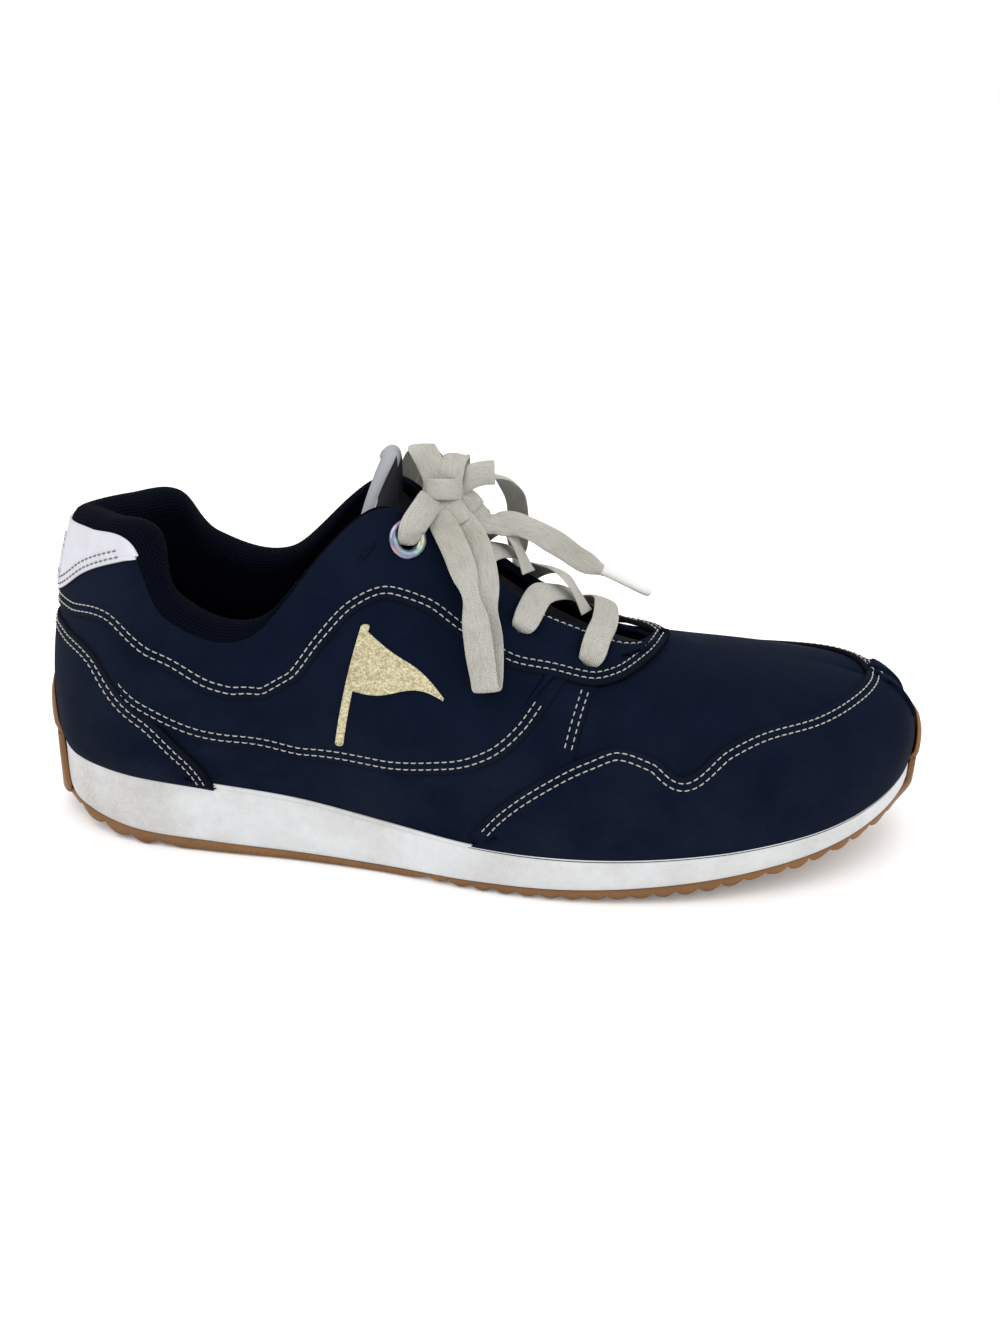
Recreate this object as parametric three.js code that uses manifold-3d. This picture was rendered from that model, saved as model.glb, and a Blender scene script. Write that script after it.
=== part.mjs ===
// Right golf shoe: cup sole with a gum rubber outsole, stitched synthetic upper, padded collar,
// loose tongue and a flat lace tied in a bow. Millimetres, +Z up, toe towards +X, lateral side
// towards -Y, ground at z = 0. The origin is under the middle of the shoe.
import * as THREE from 'three';
import { mergeVertices } from 'three/addons/utils/BufferGeometryUtils.js';
import Module from 'manifold-3d';

const wasm = await Module();
wasm.setup();

// ---------- driving dimensions ----------
const soleLength = 284;          // heel back to toe tip
const ballWidth = 103;           // across the ball of the foot
const instepHeight = 112;        // ground to the top of the eyestay
const outerThickness = 1.6;      // vamp and quarters
const overlayThickness = 1.4;    // stitched-on panels
const liningThickness = 0.8;
const counterThickness = 1.4;    // heel counter and toe puff
const collarPadding = 6;         // foam behind the collar
const boardThickness = 1.5;      // strobel board
const socklinerThickness = 4;
const soleEdgeInset = 2.6;       // outsole edge inside the midsole edge
const featherInset = 2;          // upper inside the midsole edge
const lugDepth = 2.2;            // tread grooves
const wrapThickness = 2;         // gum rubber up the heel and the toe
const eyeletBore = 3.1;          // radius of the metal eyelet's hole
const eyeletWall = 0.7;
const eyeletFlange = 6.2;        // radius of the metal eyelet's rim
const punchedHole = 2.6;         // radius of the plain lace holes
const tongueThickness = 5.4;     // shell, foam and lining together
const laceWidth = 8.5;
const laceThickness = 1.4;
const agletRadius = 1.5;
const agletLength = 17;
const emblemThickness = 0.6;
const layerGap = 0.6;            // air between two layers of the upper
const partGap = 0.35;            // air between pieces that rest on each other
const facets = 8;                // sides of a lace tube

// The pattern below is drawn for this sample shoe and graded to the dimensions above.
const sample = { length: 284, width: 103, instep: 112 };
const gradeX = soleLength / sample.length;
const gradeY = ballWidth / sample.width;
const gradeZ = instepHeight / sample.instep;

// ---------- the pattern ----------
// Stations run from the toe tip to the heel back: distance from the heel and half widths.
const stationX = [284, 280, 268, 249, 224, 196, 168, 140, 112, 84, 56, 30, 12, 3, 0];
const lateralY = [8, -8, -24.5, -38, -47.5, -52.5, -53.5, -49.5, -42.5, -38, -35.5, -32, -23.5, -12, 0];
const medialY = [8, 25, 37.5, 46, 49.5, 49.5, 46, 40, 35, 33, 33.5, 31.5, 23.5, 12, 0];
// Sole heights at eleven equal steps from the heel to the toe.
const midsoleTop = [29.5, 27.6, 25.7, 23, 18.8, 16.3, 16, 16.8, 19, 22.8, 30.5];
const midsoleBottom = [10.5, 5.6, 4.1, 3.3, 2.9, 3.4, 4.5, 6.6, 10.2, 15.4, 24];
const treadBottom = [7, 0.4, 0, 0, 0, 0, 0, 2, 6, 11.4, 20];
// The upper's top edge: centre ridge of the toe and instep, then eyestay top and collar.
const ridge = [[262, 7, 55], [257, 6, 57.5], [250, 5, 59.5], [240, 4, 61], [226, 3, 63],
  [208, 2, 65.5], [186, 1, 69.5], [162, 0, 81.5]];
const lateralTop = [...ridge, [136, -2, 100], [106, -19, 112], [72, -31, 76.5], [47, -32, 81],
  [37, -27, 101], [21.5, -15, 101], [11, 0, 99.5]];
const medialTop = [...ridge, [136, 2, 100], [106, 19, 112], [72, 30, 80], [46, 31, 83],
  [34, 25, 98.5], [21.5, 14, 100], [11, 0, 99.5]];
// How round each rib is, how far it bulges, and how flat its top is.
const crown = [1, 1, 1, 1, 1, 1, 1, 1, 0.85, 0.45, 0.15, 0.05, 0, 0, 0];
const bulge = [1.5, 2, 2, 2, 2, 2, 2, 3, 4, 5, 5.2, 5.2, 4.8, 4.2, 4];
const power = [0.85, 0.85, 0.85, 0.87, 0.9, 0.95, 1, 1, 1, 1, 1, 1, 1, 1, 1];
// Panel edges, each a list of [u, v]: u runs from toe to heel, v from the sole to the top edge.
const guardEdge = [[0, 0.93], [0.06, 0.86], [0.1, 0.79], [0.166, 0.68], [0.229, 0.564], [0.28, 0.504],
  [0.315, 0.42],
  [0.345, 0.275], [0.37, 0.36], [0.4, 0.41], [0.426, 0.368], [0.459, 0.268], [0.485, 0.15], [0.5, 0.06]];
const eyestayEdge = [[0.385, 1], [0.391, 0.9], [0.4, 0.8], [0.413, 0.702], [0.436, 0.642], [0.466, 0.622],
  [0.504, 0.612],
  [0.545, 0.632], [0.577, 0.664], [0.601, 0.672], [0.621, 0.64], [0.638, 0.575], [0.656, 0.475],
  [0.674, 0.449], [0.701, 0.556], [0.73, 0.655], [0.775, 0.72], [0.841, 0.665], [0.92, 0.612], [1, 0.605]];
const sidePanelEdge = [[0.46, 0.56], [0.471, 0.409], [0.491, 0.291], [0.522, 0.211], [0.575, 0.15],
  [0.638, 0.15], [0.72, 0.33], [0.777, 0.43], [0.835, 0.5], [0.9, 0.545]];
const foxingEdge = [[0.713, 0.06], [0.735, 0.233], [0.777, 0.43], [0.835, 0.5], [0.92, 0.55], [1, 0.575]];
const heelTabEdge = [[0.848, 0.97], [0.868, 0.9], [0.916, 0.81], [0.958, 0.71], [1, 0.65]];
const throatEdge = [[0.402, 1], [0.41, 0.93], [0.421, 0.9], [0.466, 0.88], [0.515, 0.85], [0.561, 0.865],
  [0.608, 0.95], [0.631, 0.995]];
const laceHoles = [[0.446, 0.729], [0.504, 0.734], [0.555, 0.747]];
const metalHole = [0.609, 0.84];

// ---------- curves ----------
// A smooth curve through rows of numbers, evenly spaced in t from 0 to 1.
function smooth(rows, t, before, after) {
  const last = rows.length - 1;
  const s = Math.min(Math.max(t, 0), 1) * last;
  const i = Math.min(Math.floor(s), last - 1);
  const w = s - i;
  const mirrored = (end, next) => end.map((value, k) => 2 * value - next[k]);
  const a = i > 0 ? rows[i - 1] : before ?? mirrored(rows[0], rows[1]);
  const d = i < last - 1 ? rows[i + 2] : after ?? mirrored(rows[last], rows[last - 1]);
  return rows[i].map((b, k) => 0.5 * (2 * b + (rows[i + 1][k] - a[k]) * w
    + (2 * a[k] - 5 * b + 4 * rows[i + 1][k] - d[k]) * w ** 2
    + (3 * b - a[k] - 3 * rows[i + 1][k] + d[k]) * w ** 3));
}
const smoothValue = (values, t) => smooth(values.map((value) => [value]), t)[0];
const clamp01 = (value) => Math.min(Math.max(value, 0), 1);
const ramp = (value, from, to) => {
  const t = clamp01((value - from) / (to - from));
  return t * t * (3 - 2 * t);
};
// The height of a panel edge at u.
function edgeAt(edge, u) {
  const k = Math.max(0, Math.min(edge.length - 2, edge.findIndex((point) => point[0] > u) - 1));
  const i = u >= edge[edge.length - 1][0] ? edge.length - 2 : k;
  const t = clamp01((u - edge[i][0]) / (edge[i + 1][0] - edge[i][0]));
  return edge[i][1] + (edge[i + 1][1] - edge[i][1]) * t;
}
const soleHeight = (table, x) => smoothValue(table, x / soleLength);

// ---------- the shoe form ----------
const outlineRows = {
  lateral: stationX.map((x, i) => [x * gradeX, lateralY[i] * gradeY]),
  medial: stationX.map((x, i) => [x * gradeX, medialY[i] * gradeY]),
};
const gradePoint = ([x, y, z]) => [x * gradeX, y * gradeY, z * gradeZ];
const topRows = { lateral: lateralTop.map(gradePoint), medial: medialTop.map(gradePoint) };
const otherSide = { lateral: 'medial', medial: 'lateral' };
const outward = { lateral: 1, medial: -1 };

function outlinePoint(side, u, inset) {
  // Past either end the outline runs on along the other side.
  const at = (t) => {
    const own = outlineRows[t < 0 || t > 1 ? otherSide[side] : side];
    const other = outlineRows[t < 0 || t > 1 ? side : otherSide[side]];
    const along = t < 0 ? -t : Math.min(t, 2 - t);
    return smooth(own, along, other[1], other[other.length - 2]);
  };
  const [x, y] = at(u);
  const [x0, y0] = at(u - 5e-4);
  const [x1, y1] = at(u + 5e-4);
  const length = Math.hypot(x1 - x0, y1 - y0);
  const normal = [-(y1 - y0) / length * outward[side], (x1 - x0) / length * outward[side]];
  return { x: x - normal[0] * inset, y: y - normal[1] * inset, normal };
}
// A point of the upper's outer face: a rib from the sole's feather line up to the top edge.
function formPoint(side, u, v) {
  const foot = outlinePoint(side, u, featherInset);
  const own = topRows[side];
  const other = topRows[otherSide[side]];
  const top = smooth(own, u, undefined, other[other.length - 2]);
  const round = clamp01(smoothValue(crown, u));
  const shape = smoothValue(power, u);
  const angle = v * Math.PI / 2;
  const across = round * (1 - Math.max(Math.cos(angle), 0) ** shape) + (1 - round) * v;
  const up = round * Math.sin(angle) ** shape + (1 - round) * v;
  const swell = smoothValue(bulge, u) * Math.sin(Math.PI * v ** 0.75);
  const low = soleHeight(midsoleTop, foot.x) - 1;
  return new THREE.Vector3(
    foot.x + (top[0] - foot.x) * across + foot.normal[0] * swell,
    foot.y + (top[1] - foot.y) * across + foot.normal[1] * swell,
    low + (top[2] - low) * up);
}
function formNormal(side, u, v) {
  const step = 2e-3;
  const du = formPoint(side, clamp01(u + step), v).sub(formPoint(side, clamp01(u - step), v));
  const high = Math.min(v + step, 0.995);
  const dv = formPoint(side, u, high).sub(formPoint(side, u, Math.max(high - 2 * step, 0)));
  return dv.cross(du).multiplyScalar(outward[side]).normalize();
}
const offsetPoint = (side, u, v, offset) =>
  formPoint(side, u, v).addScaledVector(formNormal(side, u, v), offset);

// ---------- solids ----------
function geometryOf(points, faces) {
  const geometry = new THREE.BufferGeometry();
  const numbers = points.flatMap((p) => [p.x, p.y, p.z]);
  geometry.setAttribute('position', new THREE.Float32BufferAttribute(numbers, 3));
  geometry.setIndex(faces.flat());
  geometry.computeVertexNormals();
  return geometry;
}
// A shell on the form. Patches join where their points meet, and open edges get walls.
// inner and outer are offsets along the normal, as numbers or functions of (u, v).
function shell(patches, inner, outer) {
  const asFunction = (value) => (typeof value === 'function' ? value : () => value);
  const [innerAt, outerAt] = [asFunction(inner), asFunction(outer)];
  const vertices = [];
  const samePoint = 0.02;
  const vertex = (side, u, v) => {
    const point = formPoint(side, u, v);
    const known = vertices.findIndex((other) => other.point.distanceTo(point) < samePoint);
    const index = known < 0 ? vertices.length : known;
    if (known < 0) vertices.push({ point, normal: new THREE.Vector3(), u, v });
    vertices[index].normal.add(formNormal(side, u, v));
    return index;
  };
  const triangles = [];
  const triangle = (a, b, c) => {
    if (a !== b && b !== c && c !== a) triangles.push([a, b, c]);
  };
  for (const { side, stations, low, high, rows } of patches) {
    const grid = stations.map((u) => Array.from({ length: rows + 1 }, (_, j) =>
      vertex(side, u, low(u) + (high(u) - low(u)) * j / rows)));
    for (let i = 0; i < stations.length - 1; i += 1) {
      for (let j = 0; j < rows; j += 1) {
        const [a, b, c, d] = [grid[i][j], grid[i + 1][j], grid[i + 1][j + 1], grid[i][j + 1]];
        if (side === 'lateral') {
          triangle(a, d, c);
          triangle(a, c, b);
        } else {
          triangle(a, c, d);
          triangle(a, b, c);
        }
      }
    }
  }
  const count = vertices.length;
  const layer = (offsetAt) => vertices.map(({ point, normal, u, v }) =>
    point.clone().addScaledVector(normal.clone().normalize(), offsetAt(u, v)));
  const edges = new Set(triangles.flatMap(([a, b, c]) => [`${a},${b}`, `${b},${c}`, `${c},${a}`]));
  const faces = triangles.flatMap(([a, b, c]) => [[a, b, c], [a + count, c + count, b + count]]);
  for (const edge of edges) {
    const [a, b] = edge.split(',').map(Number);
    if (!edges.has(`${b},${a}`)) faces.push([b, a, a + count], [b, a + count, b + count]);
  }
  return geometryOf([...layer(outerAt), ...layer(innerAt)], faces);
}
// A patch of the form between two panel edges. Every patch takes its columns from one list, so
// that layers laid over each other bend at the same places.
const seam = 0.006;              // space between two panels, as a share of u or v
const throatFront = throatEdge[0][0];
const vampEnd = laceHoles[0][0] - 0.012; // the vamp meets the quarters here
const keyColumns = [guardEdge[7][0], eyestayEdge[0][0], throatFront, vampEnd, sidePanelEdge[0][0],
  guardEdge[guardEdge.length - 1][0], eyestayEdge[13][0]];
const columnCount = 36;
const columns = [...Array.from({ length: columnCount + 1 }, (_, i) => i / columnCount), ...keyColumns];
function columnsBetween(from, to) {
  const closest = 0.1 / columnCount;
  const inside = columns.filter((u) => u > from + closest && u < to - closest);
  return [from, ...inside.sort((p, q) => p - q), to];
}
function patch(side, from, to, low, high, rows) {
  const asFunction = (edge) => (typeof edge === 'number' ? () => edge : edge);
  return { side, low: asFunction(low), high: asFunction(high), stations: columnsBetween(from, to), rows };
}
const bothSides = (...values) => ['lateral', 'medial'].map((side) => patch(side, ...values));

// A closed loft through rings of equal length, capped at both ends.
function loft(rings) {
  const size = rings[0].length;
  const faces = [];
  for (let i = 0; i < rings.length - 1; i += 1) {
    for (let j = 0; j < size; j += 1) {
      const [a, b] = [i * size + j, i * size + (j + 1) % size];
      faces.push([a, b + size, b], [a, a + size, b + size]);
    }
  }
  // A ring goes out along one skin and back along the other, so its end closes as a strip between them.
  const cap = (start, flip) => {
    const close = (...corners) => faces.push((flip ? corners : corners.reverse()).map((k) => start + k));
    for (let j = 0; j < size - 2 - j; j += 1) {
      const across = size - 1 - j;
      if (j + 1 < across - 1) close(j, j + 1, across - 1);
      close(j, across - 1, across);
    }
  };
  cap(0, true);
  cap((rings.length - 1) * size, false);
  return geometryOf(rings.flat(), faces);
}
// A slab across the sole from the heel to the toe, between two heights that follow x.
function slab(stations, insetAt, bottomAt, topAt, across) {
  const rings = stations.map((u) => {
    const inset = insetAt(u);
    const left = outlinePoint('lateral', u, inset);
    const right = outlinePoint('medial', u, inset);
    const row = Array.from({ length: across + 1 }, (_, j) => j / across);
    const at = (t, heightAt) => {
      const x = left.x + (right.x - left.x) * t;
      return new THREE.Vector3(x, left.y + (right.y - left.y) * t, heightAt(x));
    };
    return [...row.map((t) => at(t, bottomAt)), ...row.reverse().map((t) => at(t, topAt))];
  });
  return loft(rings);
}
const evenStations = (count, from, to) =>
  Array.from({ length: count + 1 }, (_, i) => from + (to - from) * i / count);
// The u of a station at distance x from the heel.
function stationAt(x) {
  let [low, high] = [0, 1];
  for (let i = 0; i < 40; i += 1) {
    const middle = (low + high) / 2;
    if (outlinePoint('lateral', middle, 0).x > x) low = middle;
    else high = middle;
  }
  return (low + high) / 2;
}
function toSolid(geometry) {
  const bare = geometry.clone();
  bare.deleteAttribute('normal');
  bare.deleteAttribute('uv');
  const merged = mergeVertices(bare, 1e-4);
  return new wasm.Manifold(new wasm.Mesh({
    numProp: 3,
    vertProperties: new Float32Array(merged.attributes.position.array),
    triVerts: new Uint32Array(merged.index.array),
  }));
}
function toGeometry(solid) {
  const mesh = solid.getMesh();
  const geometry = new THREE.BufferGeometry();
  geometry.setAttribute('position', new THREE.Float32BufferAttribute(mesh.vertProperties, 3));
  geometry.setIndex([...mesh.triVerts]);
  geometry.computeVertexNormals();
  return geometry;
}
// A tube of the lace's cross-section area along a route.
const laceTube = Math.sqrt(4 * laceWidth * laceThickness / Math.PI) / 2;
function tube(route, steps, radius = laceTube) {
  const section = new THREE.Shape(Array.from({ length: facets }, (_, i) => new THREE.Vector2(
    radius * Math.cos(2 * Math.PI * i / facets), radius * Math.sin(2 * Math.PI * i / facets))));
  const extrudePath = new THREE.CatmullRomCurve3(route.map((p) => new THREE.Vector3(...p)));
  return new THREE.ExtrudeGeometry(section, { steps, extrudePath, curveSegments: facets });
}

const shoe = new THREE.Group();
const palette = {
  navy: [0x1c2c4c, 0.85, 0], mesh: [0x10182c, 0.95, 0], black: [0x16171a, 0.8, 0],
  white: [0xe4e5ea, 0.6, 0], foam: [0xcfd2d6, 0.8, 0], gum: [0x98622a, 0.6, 0],
  board: [0xc8bfae, 0.9, 0], lace: [0xcfcec2, 0.95, 0], metal: [0xc9c4b0, 0.25, 1],
  gold: [0xb9ad86, 0.5, 0.3], clear: [0xe6e6e0, 0.3, 0],
};
function add(name, geometry, finish) {
  const [color, roughness, metalness] = palette[finish];
  const mesh = new THREE.Mesh(geometry, new THREE.MeshStandardMaterial({ color, roughness, metalness }));
  mesh.name = name;
  shoe.add(mesh);
}

// ---------- sole ----------
const tip = 0.012;
const soleStations = evenStations(24, tip, 1 - tip);
const treadTop = (x) => soleHeight(midsoleBottom, x) - partGap;
const bedHeight = (x) => soleHeight(midsoleTop, x) - 1.4;
// Grooves across the tread: three at the heel, then a row from the arch to the toe.
const grooveWidth = 3;
const heelGrooves = [14, 23, 32];
const forefootGrooves = Array.from({ length: 11 }, (_, i) => 127 + i * 12);
const grooves = [...heelGrooves, ...forefootGrooves].map((x) => x * gradeX);
const grooveStep = 0.6;
const grooveSteps = [0, grooveStep, grooveWidth, grooveWidth + grooveStep];
const grooveEdges = grooves.flatMap((x) => grooveSteps.map((step) => x + step));
const inGroove = (x) => grooves.some((g) => x > g + grooveStep / 2 && x < g + grooveWidth + grooveStep / 2);
const groundAt = (x) => Math.max(soleHeight(treadBottom, x), 0);
const grooveAt = (x) => Math.min(lugDepth, 0.6 * (treadTop(x) - groundAt(x)));
const treadAt = (x) => groundAt(x) + (inGroove(x) ? grooveAt(x) : 0);
// Past the ends the outsole stands out to carry the two wraps.
const wrapOut = wrapThickness + partGap;
const wrapShare = (u) => 1 - ramp(Math.min(u, 1 - u), 0.03, 0.1);
const outsoleInset = (u) => soleEdgeInset - (soleEdgeInset + wrapOut) * wrapShare(u);
const outsoleStations = [...soleStations, ...grooveEdges.map(stationAt)].sort((a, b) => a - b)
  .filter((u, i, all) => i === 0 || u - all[i - 1] > 5e-4);
// A wrap is a strip round the end: up the midsole's wall, then on up the upper.
function wrap(end, halfWidth, height) {
  const columns = 12;
  const rings = evenStations(columns, -1, 1).map((t) => {
    const side = t < 0 ? 'lateral' : 'medial';
    const u = end === 'toe' ? Math.abs(t) * halfWidth : 1 - Math.abs(t) * halfWidth;
    const reach = height * Math.sqrt(1 - 0.75 * t * t);
    const foot = outlinePoint(side, u, 0);
    const wall = (share, out) => {
      const low = soleHeight(midsoleBottom, foot.x) - 1.2;
      const high = soleHeight(midsoleTop, foot.x);
      return new THREE.Vector3(foot.x + foot.normal[0] * out, foot.y + foot.normal[1] * out,
        low + (high - low) * share);
    };
    const skin = (v, out) => offsetPoint(side, u, v, overlayTop + partGap + out);
    const shares = [0, 0.5, 0.9];
    const climbs = [0.1, 0.25, 0.45, 0.7, 1].map((share) => share * reach);
    const inner = [...shares.map((share) => wall(share, partGap)), ...climbs.map((v) => skin(v, 0))];
    const overMidsole = shares.map((share) => wall(share, wrapOut));
    const outer = [...overMidsole, ...climbs.map((v) => skin(v, wrapThickness))];
    return [...inner, ...outer.reverse()];
  });
  return loft(end === 'toe' ? rings.reverse() : rings);
}
const overlayTop = layerGap + overlayThickness;
const outsole = toSolid(slab(outsoleStations, outsoleInset, treadAt, treadTop, 3))
  .add(toSolid(wrap('toe', 0.05, 0.34)))
  .add(toSolid(wrap('heel', 0.075, 0.22)));
add('outsole', toGeometry(outsole), 'gum');
add('midsole', slab(soleStations, () => 0, (x) => soleHeight(midsoleBottom, x), bedHeight, 4), 'white');
const boardInset = featherInset + outerThickness + counterThickness + 2 * layerGap + liningThickness + 2.4;
const boardStations = evenStations(22, 0.03, 0.97);
const boardBottom = (x) => bedHeight(x) + partGap;
const boardTop = (x) => boardBottom(x) + boardThickness;
add('strobel_board', slab(boardStations, () => boardInset, boardBottom, boardTop, 4), 'board');
const insoleBottom = (x) => boardTop(x) + partGap;
add('sockliner', slab(boardStations, () => boardInset, insoleBottom,
  (x) => insoleBottom(x) + socklinerThickness, 4), 'mesh');

// ---------- upper ----------
const edge = (rows) => (u) => edgeAt(rows, u);
const above = (rows) => (u) => edgeAt(rows, u) + 2 * seam;
const below = (rows) => (u) => edgeAt(rows, u) - 2 * seam;
const throatEnd = throatEdge[throatEdge.length - 1][0];
const heelCut = foxingEdge[0][0];
// The quarters' top: the throat's edge in front, the collar behind.
const quarterTop = (u) => (u > throatFront && u < throatEnd ? edgeAt(throatEdge, u) : 1);

// Lace holes are cut square to the upper through every layer that they cross.
function holeCutter(side, [u, v], radius) {
  const reach = 8;
  const axis = formNormal(side, u, v);
  const cylinder = new THREE.CylinderGeometry(radius, radius, 2 * reach, 10);
  cylinder.applyQuaternion(new THREE.Quaternion().setFromUnitVectors(new THREE.Vector3(0, 1, 0), axis));
  const centre = formPoint(side, u, v);
  cylinder.translate(centre.x, centre.y, centre.z);
  return toSolid(cylinder);
}
function punched(geometry, sides) {
  let solid = toSolid(geometry);
  for (const side of sides) {
    for (const hole of laceHoles) solid = solid.subtract(holeCutter(side, hole, punchedHole));
    solid = solid.subtract(holeCutter(side, metalHole, eyeletBore + eyeletWall + partGap));
  }
  return toGeometry(solid);
}
add('vamp', shell(bothSides(0, vampEnd, 0, quarterTop, 8), -outerThickness, 0), 'navy');
for (const side of ['lateral', 'medial']) {
  const quarter = shell([patch(side, vampEnd + seam, 1 - seam, 0, quarterTop, 8)], -outerThickness, 0);
  add(`quarter_${side}`, punched(quarter, [side]), 'navy');
}

// Stitched-on panels, all in one layer over the vamp and quarters.
const guardEnd = guardEdge[guardEdge.length - 1][0];
add('toe_guard', shell(bothSides(0, guardEnd, 0.035, edge(guardEdge), 5), layerGap, overlayTop), 'navy');
const panelStart = sidePanelEdge[0][0];
const panelEnd = sidePanelEdge[sidePanelEdge.length - 1][0];
for (const side of ['lateral', 'medial']) {
  const panel = patch(side, panelStart, panelEnd, above(sidePanelEdge), below(eyestayEdge), 4);
  add(`side_panel_${side}`, shell([panel],
    layerGap, overlayTop), 'navy');
}
const tabStart = heelTabEdge[0][0];
const tabFoot = (u) => (u > tabStart ? edgeAt(heelTabEdge, u) - 2 * seam : 1);
const stayTop = (u) => Math.min(quarterTop(u), tabFoot(u));
const stayFront = eyestayEdge[0][0];
const eyestay = shell(bothSides(stayFront, 1, edge(eyestayEdge), stayTop, 4), layerGap, overlayTop);
add('eyestay_collar', punched(eyestay, ['lateral', 'medial']), 'navy');
add('heel_foxing', shell(bothSides(heelCut, 1, 0.03, below(foxingEdge), 4), layerGap, overlayTop), 'navy');
add('heel_tab', shell(bothSides(tabStart, 1, edge(heelTabEdge), 1, 4), layerGap, overlayTop), 'white');

// ---------- inside the upper ----------
const stiffenerOuter = -outerThickness - layerGap;
const stiffenerInner = stiffenerOuter - counterThickness;
const counterEdge = [[0.79, 0.1], [0.83, 0.4], [0.9, 0.5], [1, 0.54]];
add('heel_counter', shell(bothSides(counterEdge[0][0], 1, 0.03, edge(counterEdge), 4),
  stiffenerInner, stiffenerOuter), 'board');
const puffEnd = 0.215;
add('toe_puff', shell(bothSides(0, puffEnd, 0.04, 1, 6), stiffenerInner, stiffenerOuter), 'board');
// Behind the stiffeners the lining is set in, and behind the collar foam further still.
const collarFoamStart = 0.66;
const foamFoot = 0.58;
const stiffenerRoom = (u) => Math.max(1 - ramp(u, puffEnd + 0.02, 0.3), ramp(u, 0.66, 0.74));
const padding = (u, v) => collarPadding * ramp(u, collarFoamStart - 0.01, 0.76) * ramp(v, 0.42, 0.72);
const counterRoom = (u) => (counterThickness + layerGap) * stiffenerRoom(u);
const liningOuter = (u, v) => stiffenerOuter - counterRoom(u) - padding(u, v);
const liningInner = (u, v) => liningOuter(u, v) - liningThickness;
add('vamp_lining', shell(bothSides(0, vampEnd, 0.05, quarterTop, 7), liningInner, liningOuter), 'mesh');
add('quarter_lining', punched(shell(bothSides(vampEnd + seam, 1, 0.05, (u) => quarterTop(u) - 2 * seam, 7),
  liningInner, liningOuter), ['lateral', 'medial']), 'mesh');
add('collar_foam', shell(bothSides(collarFoamStart + 0.02, 1, foamFoot, 0.97, 5),
  (u, v) => liningOuter(u, v) + layerGap, stiffenerOuter), 'foam');

// ---------- tongue ----------
// Each section follows the upper's inside on both sides and domes across the throat between them.
const tongueFoot = 0.64;
const tongueFront = throatFront + 0.012;
const tongueBack = throatEnd - 0.01;
const tongueSink = 1.8;          // extra depth under the top of the facings
const tongueDepth = outerThickness + layerGap + liningThickness + 2 * layerGap;
const tongueDome = 2;
const tongueLift = [[0, 6, 0.94], [0, 13, 0.8]];   // past the facings: forward, up, narrowing
function tongueRow(u) {
  const share = [0, 0.5, 1];
  const high = edgeAt(throatEdge, u);
  const sink = tongueSink * ramp(u, 0.52, 0.58);
  const flank = (side) => share.map((t) => {
    const v = tongueFoot + (high - tongueFoot) * t;
    return { point: formPoint(side, u, v), normal: formNormal(side, u, v), sink };
  });
  const [left, right] = [flank('lateral'), flank('medial').reverse()];
  const bridge = [0.25, 0.5, 0.75].map((t) => {
    const normal = left[2].normal.clone().lerp(right[0].normal, t).normalize();
    const point = left[2].point.clone().lerp(right[0].point, t);
    return { point: point.addScaledVector(normal, 4 * t * (1 - t) * tongueDome), normal, sink };
  });
  return [...left, ...bridge, ...right];
}
const tongueRows = columnsBetween(tongueFront, tongueBack).map(tongueRow);
const lastRow = tongueRows[tongueRows.length - 1];
for (const [forward, up, narrow] of tongueLift) {
  tongueRows.push(lastRow.map(({ point, normal, sink }) => ({
    point: new THREE.Vector3(point.x + forward * gradeX, point.y * narrow, point.z + up * gradeZ),
    normal,
    sink,
  })));
}
function tongueLayer(outer, inner) {
  const at = (row, depth) => row.map(({ point, normal, sink }) =>
    point.clone().addScaledVector(normal, -depth - sink));
  const section = (row) => [...at(row, tongueDepth + inner), ...at(row, tongueDepth + outer).reverse()];
  return loft(tongueRows.map(section));
}
const tongueSkin = 0.9;
const foamGap = 2 * partGap;
add('tongue_shell', tongueLayer(0, tongueSkin), 'black');
add('tongue_foam', tongueLayer(tongueSkin + foamGap, tongueThickness - tongueSkin - foamGap), 'foam');
add('tongue_lining', tongueLayer(tongueThickness - tongueSkin, tongueThickness), 'mesh');

// ---------- metal eyelets ----------
function eyelet(side) {
  const [u, v] = metalHole;
  const low = -outerThickness - layerGap - liningThickness;
  const seat = overlayTop + partGap + 0.1;
  const rim = 0.9;
  const outer = eyeletBore + eyeletWall;
  const profile = [[eyeletBore, low], [outer, low], [outer, seat], [eyeletFlange, seat],
    [eyeletFlange - 0.4, seat + rim * 0.7], [eyeletFlange - 1.4, seat + rim], [eyeletBore + 0.4, seat + rim],
    [eyeletBore, low]].map(([r, y]) => new THREE.Vector2(r, y));
  const geometry = new THREE.LatheGeometry(profile, 14);
  geometry.applyQuaternion(new THREE.Quaternion().setFromUnitVectors(
    new THREE.Vector3(0, 1, 0), formNormal(side, u, v)));
  const centre = formPoint(side, u, v);
  geometry.translate(centre.x, centre.y, centre.z);
  return geometry;
}
for (const side of ['lateral', 'medial']) add(`eyelet_${side}`, eyelet(side), 'metal');

// ---------- emblem ----------
// A plain pennant on its pole, on the lateral side panel.
const pennantTop = [[0.535, 0.42], [0.6, 0.53], [0.618, 0.55]];
const pennantFoot = [[0.535, 0.4], [0.6, 0.36], [0.606, 0.22], [0.618, 0.22]];
add('emblem_lateral', shell([patch('lateral', pennantTop[0][0], pennantTop[2][0], edge(pennantFoot),
  edge(pennantTop), 3)], overlayTop + layerGap, overlayTop + layerGap + emblemThickness), 'gold');

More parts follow.
